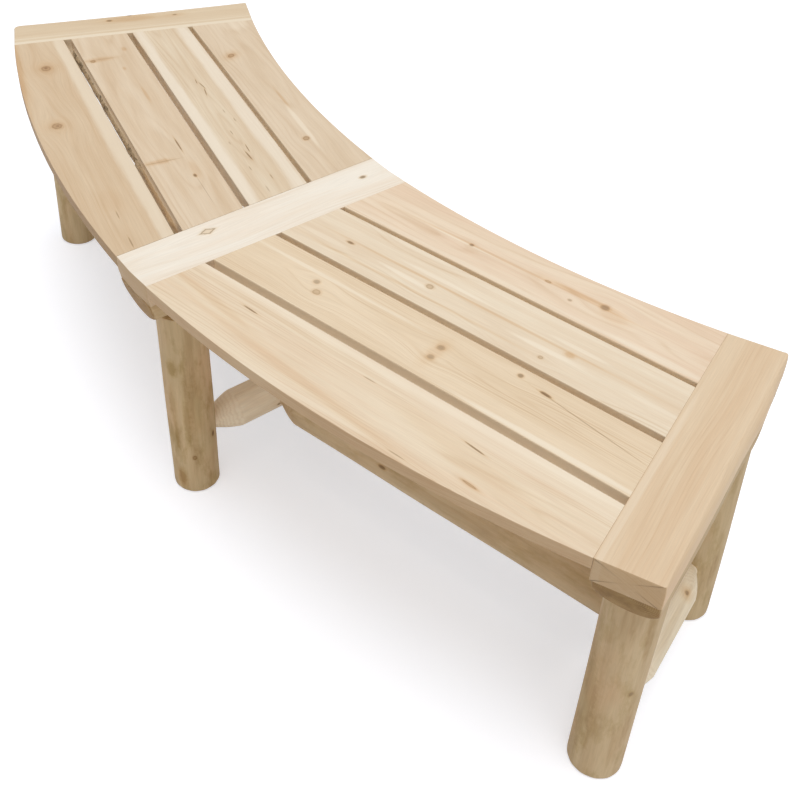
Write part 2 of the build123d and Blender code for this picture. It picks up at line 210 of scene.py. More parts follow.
def closed_loft(name: str, rings: Array, crease: float = 38.0) -> Object:
    """Makes a closed mesh from a grid of points whose rows are rings, with a fan at each end.

    Args:
        name: the object's name.
        rings: points in millimetres, shaped (rows, points round, 3).
        crease: edges bent by more than this many degrees stay sharp.

    Returns:
        The new object, with its place in its mesh and its faces outwards.
    """
    rows, around = rings.shape[:2]
    points = np.concatenate([rings.reshape(-1, 3), rings[[0, -1]].mean(axis=1)]) * MM
    first = np.arange(around)
    after = (first + 1) % around
    starts = np.arange(rows - 1)[:, None] * around
    low, turn = (starts + first).ravel(), (starts + after).ravel()
    quads = np.stack([low, turn, turn + around, low + around], axis=1)
    last = (rows - 1) * around
    start_fan = np.stack([after, first, np.full(around, rows * around)], axis=1)
    end_fan = np.stack([first + last, after + last, np.full(around, rows * around + 1)], axis=1)
    triangles = np.concatenate([quads[:, [0, 1, 2]], quads[:, [0, 2, 3]], start_fan, end_fan])
    a, b, c = (points[triangles[:, corner]] for corner in range(3))
    if np.einsum("ij,ij->i", a, np.cross(b, c)).sum() < 0:
        quads, start_fan, end_fan = quads[:, ::-1], start_fan[:, ::-1], end_fan[:, ::-1]
    mesh = bpy.data.meshes.new(name)
    mesh.from_pydata(points.tolist(), [], [*quads.tolist(), *start_fan.tolist(), *end_fan.tolist()])
    mesh.shade_smooth()
    mesh.set_sharp_from_angle(angle=radians(crease))
    mesh.update()
    piece = bpy.data.objects.new(name, mesh)
    bpy.context.scene.collection.objects.link(piece)
    return piece


@dataclass(frozen=True)
class Arc:
    """An arc edge of the seat in a half's plane; its crown is nearest the bowed side."""

    along: float
    across: float
    radius: float

    def at(self, along: Array) -> Array:
        """Across place on the arc: crown + R - sqrt(R^2 - (along - crown)^2)."""
        return self.across + self.radius - np.sqrt(self.radius**2 - (along - self.along) ** 2)


@dataclass(frozen=True)
class Cut:
    """A straight cut across a half, through a point and turned beyond square with the slats."""

    along: float
    across: float
    turn: float

    def at(self, across: Array) -> Array:
        """Along place of the cut at an across place."""
        return self.along - tan(radians(self.turn)) * (across - self.across)

    def moved(self, distance: float) -> "Cut":
        """The same cut, moved at right angles to itself."""
        turn = radians(self.turn)
        return Cut(self.along + distance * cos(turn), self.across + distance * sin(turn), self.turn)

    def meets(self, arc: Arc) -> tuple[float, float]:
        """Where the cut crosses an arc, found by stepping between the two until they agree.

        Args:
            arc: an edge of the seat.

        Returns:
            Along and across place.
        """
        along = self.along
        for _ in range(30):
            across = float(arc.at(np.array(along)))
            along = float(self.at(np.array(across)))
        return along, across


@dataclass(frozen=True)
class SeatPlan:
    """The seat's outline and cuts in a half's plane: along it from the middle, and across it."""

    outer: Arc = Arc(385.0, -43.5, 2060.0)
    inner: Arc = Arc(412.0, 407.5, 1650.0)
    middle: Cut = Cut(0.0, 0.0, -HALF_TURN)
    end_seam: Cut = Cut(749.0, 0.0, 8.3)
    centre_width: float = 86.0
    end_width: float = 82.0
    first_edge: float = 77.0
    gaps: Row = (13.5, 10.2, 8.2)
    widths: tuple[float, float] = (101.8, 103.5)

    @property
    def centre_seam(self) -> Cut:
        """The cut between the centre board and the slats."""
        return self.middle.moved(self.centre_width / 2)

    def edges(self) -> list[tuple[float | Arc, float | Arc]]:
        """Low and high edge of the four slats, straight or an arc."""
        second = self.first_edge + self.gaps[0]
        third = second + self.widths[0] + self.gaps[1]
        fourth = third + self.widths[1] + self.gaps[2]
        return [(self.outer, self.first_edge), (second, second + self.widths[0]),
                (third, third + self.widths[1]), (fourth, self.inner)]

    def edge_line(self, edge: float | Arc, steps: Array) -> Array:
        """Points of a slat's edge between its two seams.

        Args:
            edge: the across place of a straight edge, or an arc.
            steps: 0 at the centre seam to 1 at the end seam.

        Returns:
            Along and across places, shaped (steps, 2).
        """
        curved = isinstance(edge, Arc)
        ends = [cut.meets(edge)[0] if curved else float(cut.at(np.array(edge)))
                for cut in (self.centre_seam, self.end_seam)]
        along = ends[0] + (ends[1] - ends[0]) * steps
        return np.stack([along, edge.at(along) if curved else np.full_like(along, edge)], axis=-1)


def to_bench(points: Array, side: Side = Side.RIGHT) -> Array:
    """Turns points of a half's plane into the bench's frame.

    Args:
        points: along, across and height in millimetres, in the last axis.
        side: which half.

    Returns:
        x, y and z in millimetres.
    """
    turn = radians(HALF_TURN)
    along, across, height = points[..., 0], points[..., 1], points[..., 2]
    x = along * cos(turn) - across * sin(turn)
    y = along * sin(turn) + across * cos(turn) - HALF_SETBACK
    return np.stack([x * side.value, y, height], axis=-1)


@dataclass(frozen=True)
class SlabSection:
    """A board's section with eased corners, placed in from its edges and down from its top."""

    thickness: float
    ease: float = 1.3
    columns: int = 22
    side_rows: int = 5

    def ring(self) -> tuple[Array, Array, Array, Array]:
        """The section's points, anticlockwise from the top's low edge.

        A point lies at fraction * width + offset across and at depth below the top. The last array
        points inwards, so that moving by it shrinks the section evenly. The bottom and the low
        side are the top and the high side, turned half round.

        Returns:
            Fractions, offsets, depths, and inward directions shaped (points, 2).
        """
        ease, deep = self.ease, self.thickness
        support = ease + 0.5
        flat = np.linspace(0, 1, self.columns)
        arc = np.radians(np.linspace(0, 90, 4))
        rows = np.linspace(support, deep - support, self.side_rows)
        sine, cosine = np.sin(arc), np.cos(arc)
        parts = [(flat, support * (1 - 2 * flat), 0, 0, 1),
                 (1, ease * (sine - 1), ease * (1 - cosine), -sine, cosine),
                 (1, 0, rows, -1, 0),
                 (1, ease * (cosine - 1), deep + ease * (sine - 1), -cosine, -sine)]
        half = np.concatenate([np.stack(np.broadcast_arrays(*part), axis=1) for part in parts])
        ring = np.concatenate([half, np.array([1, 0, deep, 0, 0]) - half])
        return ring[:, 0], ring[:, 1], ring[:, 2], ring[:, 3:]


Wear = Callable[[Array, Array, Array], Array]


def board_rings(low: Array, high: Array, distance: Array, inset: Array, section: SlabSection,
                wear: Wear | None = None) -> Array:
    """Carries a board's section between its two long edges.

    Each ring point is low + (high - low) * fraction + unit(high - low) * offset, at the section's
    depth; a ring's inset moves its points along their inward direction, which rounds the ends.

    Args:
        low: the low edge's points in the board's plane, shaped (rows, 2).
        high: the high edge's points.
        distance: each row's distance along the board.
        inset: how far each row's ring is drawn in.
        section: the board's section.
        wear: how far a point moves across, from its distance, fraction and depth.

    Returns:
        Points in the board's plane with their height, shaped (rows, points, 3).
    """
    fraction, offset, depth, inward = section.ring()
    span = high - low
    width = np.linalg.norm(span, axis=1, keepdims=True)
    across = fraction * width + offset + inset[:, None] * inward[:, 0]
    down = depth + inset[:, None] * inward[:, 1]
    if wear is not None:
        across = across + wear(distance[:, None], across / width, down)
    flat = low[:, None] + (span / width)[:, None] * across[..., None]
    return np.concatenate([flat, (SEAT_TOP - down)[..., None]], axis=-1)


def eased_steps(length: float, ease: float, count: int, corner: float = 0.0) -> tuple[Array, Array]:
    """Rows along a board or log, closer together where its ends are rounded.

    Near an end, a row at ease * (1 - sin f) from it is drawn in by ease * (1 - cos f).

    Args:
        length: the piece's length.
        ease: radius of the rounded ends.
        count: rows between the rounded ends.
        corner: how far in from the ends the rows lie closer together.

    Returns:
        Distances from the start, and the inset of each row.
    """
    angles = np.radians([86.0, 60.0, 30.0, 0.0])
    near, drawn = ease * (1 - np.sin(angles)), ease * (1 - np.cos(angles))
    if corner:
        near = np.concatenate([near, np.linspace(ease * 1.4, corner, 9)[:-1]])
        drawn = np.concatenate([drawn, np.zeros(8)])
    inner = max(ease * 1.4, corner)
    middle = np.linspace(inner, length - inner, count)
    distance = np.concatenate([near, middle, length - near[::-1]])
    return distance, np.concatenate([drawn, np.zeros(count), drawn[::-1]])


# ---------------------------------------------------------------- finishes


class MarkKind(Enum):
    """What a mark in the wood is."""

    KNOT = "brown knot"
    PIN = "small dark knot"
    DIAMOND = "diamond knot"
    CHECK = "drying check"
    STAIN = "brown stain"
    PATCH = "olive trace of inner bark"
    SAP = "pale streak of sapwood"


KNOT, PIN, DIAMOND, CHECK, STAIN, PATCH, SAP = MarkKind
MarkRows = Mapping[MarkKind, Sequence[Sequence[float]]]
# Tint of a mark's middle, rim and halo, over the colour of the wood
MARK_TINTS = {
    KNOT: ("#DDD0BF", "#C3B29C", "#F5EDE2"),
    PIN: ("#AA9B88", "#C9B9A5", "#F4EBDF"),
    DIAMOND: ("#F4EADC", "#B3A28B", "#F8F2E8"),
    CHECK: ("#A39380", "#CDBDA9", "#F8F2E8"),
    STAIN: ("#F0E1CF", "#F4E9DA", "#FBF6EF"),
    PATCH: ("#D0C59A", "#D9CFAC", "#EFEAD8"),
}


@dataclass(frozen=True)
class Mark:
    """A mark in a piece's own millimetres, with one over its half sizes and its turn round z."""

    kind: MarkKind
    middle: Row
    shrink: Row
    turn: float = 0.0
    strength: float = 1.0

    def lay(self, nodes: Shading, place: NodeSocket, colour: NodeSocket, noise: NodeSocket,
            uneven: float, sap: str = "") -> NodeSocket:
        """Lays the mark over a colour, from its middle over its rim and halo to nothing.

        A point's reach is its distance from the middle in half sizes, or |x| + |y| for a diamond,
        plus a noise that makes the outline uneven.

        Args:
            nodes: the material's nodes.
            place: coordinates in the piece's own millimetres.
            colour: the wood's colour.
            noise: the noise, about a half on average.
            uneven: how far the noise moves the outline.
            sap: colour of sapwood.

        Returns:
            The colour with the mark.
        """
        away = nodes.add("VectorMath", (place, self.middle), operation="SUBTRACT")
        if self.turn:
            away = nodes.add("VectorRotate", {"Vector": away, "Angle": -radians(self.turn)},
                             rotation_type="Z_AXIS")
        away = nodes.add("VectorMath", (away, self.shrink), operation="MULTIPLY")
        if self.kind is DIAMOND:
            away = nodes.add("VectorMath", (away,), operation="ABSOLUTE")
            reach = nodes.add("VectorMath", (away, (1.0, 1.0, 0.0)), "Value",
                              operation="DOT_PRODUCT")
        else:
            reach = nodes.add("VectorMath", (away,), "Value", operation="LENGTH")
        reach = nodes.add("Math", (noise, uneven, reach), operation="MULTIPLY_ADD")
        reach = nodes.add("Math", (reach, uneven / 2), operation="SUBTRACT")
        if self.kind is SAP:
            share = nodes.add("MapRange", (reach, 0.55, 1.3, self.strength, 0.0),
                              interpolation_type="SMOOTHSTEP")
            return nodes.add("Mix", {0: share, 6: colour, 7: linear(sap)}, **BLEND)
        core, rim, halo = map(linear, MARK_TINTS[self.kind])
        clear = linear("#FFFFFF")
        part = nodes.add("Math", (reach, 0.4), operation="MULTIPLY")
        tint = nodes.add("ValToRGB", (part,))
        points = tint.node.color_ramp.elements
        points[0].position, points[0].color = 0.0, core
        points[1].position, points[1].color = 1.0, clear
        for position, shade in ((0.22, core), (0.36, rim), (0.46, halo), (0.72, clear)):
            points.new(position).color = shade
        return nodes.add("Mix", {0: self.strength, 6: colour, 7: tint}, **TINT)


def board_marks(rows: MarkRows) -> tuple[Mark, ...]:
    """Makes a board's marks from rows of along, across, length, width, turn and strength."""
    return tuple(Mark(kind, (row[0], row[1], 0.0), (2 / row[2], 2 / row[3], 0.0), *row[4:])
                 for kind, group in rows.items() for row in group)


def log_marks(rows: MarkRows) -> tuple[Mark, ...]:
    """Makes a log's marks from rows of x, y, z, half width, half length and strength."""
    return tuple(Mark(kind, row[:3], (1 / row[3], 1 / row[3], 1 / row[4]), 0.0, *row[5:])
                 for kind, group in rows.items() for row in group)


@dataclass(frozen=True)
class Placement:
    """Turns object coordinates in metres into a piece's own millimetres, and knows its grain."""

    turn: Row
    shift: Row
    grain: Row
    flip: int = 1

    @classmethod
    def on_seat(cls, turn: float, start: Sequence[float], flip: int = 1) -> "Placement":
        """A board's own plane at the seat's top, its x along the grain.

        Args:
            turn: of the grain from the bench's x, in degrees.
            start: x and y where the plane starts.
            flip: -1 for the left half's mirrored planes.

        Returns:
            The placement.
        """
        sine, cosine = sin(radians(turn)), cos(radians(turn))
        x, y = map(float, start)
        shift = (-x * cosine - y * sine, x * sine - y * cosine, -SEAT_TOP)
        return cls((0.0, 0.0, -radians(turn)), shift, (flip * cosine, sine, 0.0), flip)

    @classmethod
    def along_log(cls, foot: Sequence[float], head: Sequence[float]) -> "Placement":
        """A log's own frame, its z along the log's axis.

        Args:
            foot: one end of the axis, in millimetres.
            head: the other end.

        Returns:
            The placement.
        """
        axis = (Vector(head) - Vector(foot)).normalized()
        turn = axis.rotation_difference(Vector((0.0, 0.0, 1.0))).to_euler()
        return cls(tuple(turn), tuple(-(turn.to_matrix() @ Vector(foot))), tuple(axis))


@dataclass(frozen=True)
class BareWood:
    """White cedar left bare, with what its sawn and its peeled faces have in common."""

    end: str = "#C2B294"
    end_cosines: tuple[float, float] = (0.45, 0.8)
    roughness: float = 0.62
    relief: float = 0.55
    gloss: float = 0.32
    seed: float = 0.0
    marks: tuple[Mark, ...] = ()

    def material(self, name: str, placement: Placement) -> Material:
        """Builds the material of one piece.

        Args:
            name: the material's name.
            placement: the piece's own frame.

        Returns:
            The material.
        """
        material = bpy.data.materials.new(name)
        nodes = Shading(material)
        place = nodes.add("Mapping", {
            "Vector": nodes.add("TexCoord", out="Object"), "Location": placement.shift,
            "Rotation": placement.turn, "Scale": (placement.flip / MM, 1 / MM, 1 / MM)})
        end = nodes.facing(placement.grain, *self.end_cosines)
        colour, height = self.wood(nodes, place, end)
        normal = nodes.add("Bump", {"Strength": self.relief, "Distance": MM, "Height": height})
        shader = nodes.add("BsdfPrincipled", {
            "Base Color": colour, "Normal": normal, "Roughness": self.roughness,
            "Specular IOR Level": self.gloss})
        nodes.add("OutputMaterial", {"Surface": shader})
        return material

    def wood(self, nodes: Shading, place: NodeSocket,
             end: NodeSocket) -> tuple[NodeSocket, NodeSocket]:
        """Colours the wood and gives the height of its grain.

        Args:
            nodes: the material's nodes.
            place: coordinates in the piece's own millimetres.
            end: 1 on end grain.

        Returns:
            Colour and height.
        """
        raise NotImplementedError


@dataclass(frozen=True)
class SawnSoftwood(BareWood):
    """White cedar, sawn and sanded.

    To the eye: a warm cream with faint darker lines of summer wood along the grain, pale streaks
    of sapwood, fine silky fibres, small brown knots, short drying checks and darker ends. Its
    sides carry painted shade, and on some boards painted light as well.
    """

    spring: str = "#EBD8BD"
    summer: str = "#DAC4A3"
    sap: str = "#F1E4CF"
    blush: str = "#E3C7A6"
    # Painted shade: multiplied into every face that does not look up, darkening the sides
    edge: str = "#FFFBF4"
    # Painted light: how far the sides are blended towards a pale tan, a painted highlight
    painted_side_light: float = 0.0
    pith: tuple[float, float] = (45.0, -70.0)
    tilt: tuple[float, float] = (0.25, 0.35)
    ring: float = 2.9
    wander: float = 16.0
    contrast: float = 0.34
    bark_below: float = 0.0

    def wood(self, nodes: Shading, place: NodeSocket,
             end: NodeSocket) -> tuple[NodeSocket, NodeSocket]:
        """Lays the marks over the grain, then painted shade and light on the sides, the ends' tint,
        any bark.

        Args:
            nodes: the material's nodes.
            place: coordinates in the board's own plane.
            end: 1 on end grain.

        Returns:
            Colour and height.
        """
        top = nodes.facing((0.0, 0.0, 1.0), 0.25, 0.8)
        colour, height = self.grain(nodes, self.bend_round_knots(nodes, place), end)
        ragged = nodes.add("TexNoise", {"Vector": place, "Scale": 0.16, "Detail": 3.0,
                                        "Roughness": 0.6})
        flowing = nodes.uneven(place, (self.seed, 1.0, 0.0), (0.009, 0.07, 0.07), 3.0, 0.55)
        # Sapwood first, so that knots and checks lie over it
        for mark in sorted(self.marks, key=lambda mark: mark.kind is not SAP):
            outline = (flowing, 1.1) if mark.kind in (SAP, STAIN) else (ragged, 0.5)
            colour = mark.lay(nodes, place, colour, *outline, self.sap)
        # Painted shade on faces that do not look up, by the edge tint in the loop below
        side = nodes.add("Math", (1.0, top), operation="SUBTRACT")
        # Painted light: the sides are blended towards a pale tan
        painted_light_share = nodes.add("Math", (side, self.painted_side_light), operation="MULTIPLY")
        rough_end = nodes.add("Math", (end, 0.6), operation="MULTIPLY")
        for share, tint, way in ((side, self.edge, TINT), (painted_light_share, "#FAE6C6", BLEND),
                                 (rough_end, self.end, BLEND)):
            colour = nodes.add("Mix", {0: share, 6: colour, 7: linear(tint)}, **way)
        if self.bark_below:
            colour, height = self.add_bark(nodes, place, colour, height)
        return colour, height

    def bend_round_knots(self, nodes: Shading, place: NodeSocket) -> NodeSocket:
        """Draws the grain in around each knot.

        The across coordinate y becomes y - 0.75 (y - knot) * 0.6^(d^2), with d the distance from
        the knot over about twice its size, so that the lines part and flow round it.

        Args:
            nodes: the material's nodes.
            place: coordinates in the board's own plane.

        Returns:
            The bent coordinates.
        """
        bent = place
        for mark in self.marks:
            if mark.kind not in (KNOT, DIAMOND, PIN):
                continue
            away = nodes.add("VectorMath", (place, mark.middle), operation="SUBTRACT")
            over = (0.21 * mark.shrink[0], 0.31 * mark.shrink[1], 0.0)
            scaled = nodes.add("VectorMath", (away, over), operation="MULTIPLY")
            square = nodes.add("VectorMath", (scaled, scaled), "Value", operation="DOT_PRODUCT")
            falloff = nodes.add("Math", (0.6, square), operation="POWER")
            pull = nodes.add("VectorMath", (away, (0.0, -0.75, 0.0)), operation="MULTIPLY")
            shift = nodes.add("VectorMath", {0: pull, "Scale": falloff}, operation="SCALE")
            bent = nodes.add("VectorMath", (bent, shift), operation="ADD")
        return bent

    def grain(self, nodes: Shading, grain: NodeSocket,
              end: NodeSocket) -> tuple[NodeSocket, NodeSocket]:
        """Colours the growth rings, clouds and fibres, and gives their height.

        A point's ring is its distance from the pith, a line along the board that is a little
        tilted and wanders, divided by the ring width.

        Args:
            nodes: the material's nodes.
            grain: coordinates in the board's own plane, drawn in around knots.
            end: 1 on end grain, where the rings are plainer.

        Returns:
            Colour and height.
        """
        # The stem wanders over about 300 mm
        wander = nodes.uneven(grain, (self.seed, 0.0, 0.0), (0.0032, 0.010, 0.010), 1.5, 0.4,
                              "Color")
        wandered = nodes.add("VectorMath", (wander, (0.0, self.wander, self.wander), grain),
                             operation="MULTIPLY_ADD")
        stem = nodes.add("Mapping", {
            "Vector": wandered,
            "Location": (0.0, *(-place - self.wander / 2 for place in self.pith)),
            "Rotation": (0.0, *map(radians, self.tilt))})
        section = nodes.add("VectorMath", (stem, (0.0, 1.0, 1.0)), operation="MULTIPLY")
        radius = nodes.add("VectorMath", (section,), "Value", operation="LENGTH")
        # Ring widths differ from year to year
        place = nodes.add("Math", (radius, 0.14, self.seed), operation="MULTIPLY_ADD")
        years = nodes.add("TexNoise", {"W": place, "Scale": 1.0, "Detail": 1.0},
                          noise_dimensions="1D")
        even = nodes.add("Math", (radius, self.ring), operation="DIVIDE")
        count = nodes.add("Math", (years, 3.2, even), operation="MULTIPLY_ADD")
        year = nodes.add("Math", (count,), operation="FRACT")
        summer = nodes.add("FloatCurve", {"Value": year})
        mapping = summer.node.mapping
        curve = mapping.curves[0]
        for x, y in ((0.12, 0.3), (0.42, 0.0), (0.72, 0.3), (0.9, 1.0)):
            curve.points.new(x, y)
        curve.points[0].location, curve.points[-1].location = (0.0, 0.75), (1.0, 0.75)
        mapping.update()
        # Some years are faint and others plain, in bands of a few rings
        plain = nodes.uneven(grain, (0.0, self.seed, 7.0), (0.0026, 0.05, 0.03), 2.5, 0.55)
        strength = nodes.add("MapRange", (plain, 0.38, 0.68, 0.1 * self.contrast, self.contrast))
        at_end = nodes.add("Math", (end, 0.45), operation="MULTIPLY")
        strength = nodes.add("Math", (strength, at_end), operation="MAXIMUM")
        lines = nodes.add("Math", (summer, strength), operation="MULTIPLY")
        # Clouds of a warmer tint, 35 mm wide and 300 mm long, and streaks 5 mm wide within them
        cloud = nodes.uneven(grain, (self.seed, 3.0, 0.0), (0.0036, 0.030, 0.02), 2.0)
        streak = nodes.uneven(grain, (3.0, self.seed, 0.0), (0.0055, 0.20, 0.20), 3.0, 0.6)
        warm = nodes.add("Math", (streak, 0.55, cloud), operation="MULTIPLY_ADD")
        warm = nodes.add("MapRange", (warm, 0.62, 0.98, 0.0, 0.9))
        colour = nodes.add("Mix", {0: warm, 6: linear(self.spring), 7: linear(self.blush)}, **BLEND)
        colour = nodes.add("Mix", {0: lines, 6: colour, 7: linear(self.summer)}, **TINT)
        # Fibres about 0.7 mm wide and 40 mm long, drawn a little coarse to show
        fibre = nodes.uneven(grain, (0.0, 0.0, 0.0), (0.022, 0.75, 0.75), 4.0, 0.62)
        shade = nodes.add("MapRange", (fibre, 0.3, 0.7, 0.94, 1.04))
        colour = nodes.add("VectorMath", {0: colour, "Scale": shade}, operation="SCALE")
        fine = nodes.add("Math", (fibre, 0.22), operation="MULTIPLY")
        return colour, nodes.add("Math", (lines, 0.12, fine), operation="MULTIPLY_ADD")

    def add_bark(self, nodes: Shading, place: NodeSocket, colour: NodeSocket,
                 height: NodeSocket) -> tuple[NodeSocket, NodeSocket]:
        """Darkens the rough strip of inner bark below an across place.

        Args:
            nodes: the material's nodes.
            place: coordinates in the board's own plane.
            colour: the wood's colour.
            height: the wood's height.

        Returns:
            Colour and height with the bark.
        """
        # Crumbs about 4 mm across, gathered in patches 40 mm long
        crumb = nodes.uneven(place, (0.0, 0.0, 0.0), (0.11, 0.22, 0.22), 5.0, 0.72)
        patch = nodes.uneven(place, (5.0, 0.0, 0.0), (0.024, 0.06, 0.09), 3.0, 0.6)
        along, across, _ = nodes.add("SeparateXYZ", (place,)).node.outputs
        edge = nodes.add("Math", (crumb, 4.0, across), operation="MULTIPLY_ADD")
        low = self.bark_below
        share = nodes.add("MapRange", (edge, low + 0.6, low + 2.2, 1.0, 0.0),
                          interpolation_type="SMOOTHSTEP")
        both = nodes.add("Math", (crumb, patch), operation="ADD")
        light = nodes.add("MapRange", (both, 0.84, 1.02))
        bark = nodes.add("Mix", {0: light, 6: linear("#75654E"), 7: linear("#C9B08C")}, **BLEND)
        # Towards the centre board only the smooth brown layer is left
        ends = nodes.add("Math", (patch, 260.0, along), operation="MULTIPLY_ADD")
        smooth = nodes.add("MapRange", (ends, 350.0, 410.0, 0.9, 0.0),
                           interpolation_type="SMOOTHSTEP")
        bark = nodes.add("Mix", {0: smooth, 6: bark, 7: linear("#CBAA80")}, **BLEND)
        colour = nodes.add("Mix", {0: share, 6: colour, 7: bark}, **BLEND)
        rough = nodes.add("Math", (crumb, share), operation="MULTIPLY")
        return colour, nodes.add("Math", (rough, 3.0, height), operation="MULTIPLY_ADD")


@dataclass(frozen=True)
class PeeledLog(BareWood):
    """White cedar log, peeled and sanded round.

    To the eye: a tan, slightly olive skin with long soft streaks where the tool crossed the rings,
    small dark knots and a few warm stains; its ends are darker, with the rings as circles.
    """

    end: str = "#CFBF9F"
    end_cosines: tuple[float, float] = (0.35, 0.85)
    roughness: float = 0.66
    relief: float = 0.5
    gloss: float = 0.3
    light: str = "#CDB792"
    dark: str = "#B69C74"
    warm: str = "#C4A57D"
    traces: float = 0.55
    ring: float = 2.3
    pith: Row = (3.0, -2.0, 0.0)

    def wood(self, nodes: Shading, place: NodeSocket,
             end: NodeSocket) -> tuple[NodeSocket, NodeSocket]:
        """Colours the skin's streaks, blotches and traces of bark, and the rings.

        Args:
            nodes: the material's nodes.
            place: coordinates in the log's own frame.
            end: 1 on the log's ends, where the rings are plain.

        Returns:
            Colour and height.
        """
        # Long streaks, 9 mm wide and 170 mm long, and blotches 50 mm wide
        streak = nodes.uneven(place, (self.seed, 0.0, self.seed), (0.05, 0.05, 0.006), 4.0)
        blotch = nodes.uneven(place, (0.0, self.seed, 0.0), (0.02, 0.02, 0.009), 2.0)
        fibre = nodes.uneven(place, (0.0, 0.0, 0.0), (0.6, 0.6, 0.03), 4.0, 0.6)
        # Olive traces of the inner bark that the drawknife left, 25 mm wide and 70 mm long
        trace = nodes.uneven(place, (self.seed, 5.0, 0.0), (0.036, 0.036, 0.013), 5.0, 0.68)
        # Rings round a pith that lies off the middle
        section = nodes.add("VectorMath", (place, (1.0, 1.0, 0.0), self.pith),
                            operation="MULTIPLY_ADD")
        radius = nodes.add("VectorMath", (section,), "Value", operation="LENGTH")
        wavy = nodes.add("Math", (streak, 3.0), operation="MULTIPLY")
        count = nodes.add("Math", (radius, 1 / self.ring, wavy), operation="MULTIPLY_ADD")
        ring = nodes.add("Math", (count, 0.5), operation="PINGPONG")
        lines = nodes.add("MapRange", (ring, 0.12, 0.45), interpolation_type="SMOOTHSTEP")
        plain = nodes.add("MapRange", (end, 0.0, 1.0, 0.14, 0.5))
        lines = nodes.add("Math", (lines, plain), operation="MULTIPLY")
        colour = linear(self.light)
        for share, tint, way in (
            (nodes.add("MapRange", (streak, 0.36, 0.66)), self.dark, BLEND),
            (nodes.add("MapRange", (blotch, 0.45, 0.7, 0.0, 0.7)), self.warm, BLEND),
            (nodes.add("MapRange", (trace, 0.50, 0.66, 0.0, self.traces)), "#D9D0AE", TINT),
            (lines, "#C9A97C", TINT),
            (end, self.end, TINT),
        ):
            colour = nodes.add("Mix", {0: share, 6: colour, 7: linear(tint)}, **way)
        shade = nodes.add("MapRange", (fibre, 0.3, 0.7, 0.93, 1.05))
        colour = nodes.add("VectorMath", {0: colour, "Scale": shade}, operation="SCALE")
        ragged = nodes.add("TexNoise", {"Vector": place, "Scale": 0.12, "Detail": 3.0,
                                        "Roughness": 0.6})
        for mark in self.marks:
            colour = mark.lay(nodes, place, colour, ragged, 1.5 if mark.kind is PATCH else 0.5)
        fine = nodes.add("Math", (fibre, 0.3), operation="MULTIPLY")
        return colour, nodes.add("Math", (streak, 0.9, fine), operation="MULTIPLY_ADD")


@dataclass(frozen=True)
class ZincScrew:
    """Bright zinc-plated steel: pale grey, a soft metal gloss with fine turning marks."""

    colour: str = "#BFC1BD"
    bright: str = "#D2D3CF"
    roughness: float = 0.34

    def material(self) -> Material:
        """Builds the screws' material, its turning marks about 1 mm apart."""
        material = bpy.data.materials.new("zinc_plated_steel_turned")
        nodes = Shading(material)
        turning = nodes.add("TexNoise", {"Vector": nodes.add("TexCoord", out="Object"),
                                         "Scale": 900.0, "Detail": 2.0})
        tint = nodes.add("Mix", {0: turning, 6: linear(self.colour), 7: linear(self.bright)},
                         **BLEND)
        shader = nodes.add("BsdfPrincipled", {"Base Color": tint, "Metallic": 1.0,
                                              "Roughness": self.roughness})
        nodes.add("OutputMaterial", {"Surface": shader})
        return material


def dress(node: str, material: Material) -> None:
    """Gives a carried-over node its better material.

    Args:
        node: the node's name.
        material: the material for all its slots.
    """
    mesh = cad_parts[node].data
    mesh.materials.clear()
    mesh.materials.append(material)


def finish_piece(piece: Object, node: str, material: Material) -> None:
    """Dresses a new piece, puts it on the bench's one body and in the place of its node.

    Args:
        piece: the piece.
        node: the node that it stands for.
        material: its material.
    """
    piece.data.materials.append(material)
    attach(piece, "root")
    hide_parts(node)
    LOG.info("%s: %d faces", piece.name, len(piece.data.polygons))


# ---------------------------------------------------------------- seat


# Radius of an end board's free corners, at the bowed and the hollow side
END_CORNERS = {Side.RIGHT: (3.5, 4.5), Side.LEFT: (13.0, 4.5)}
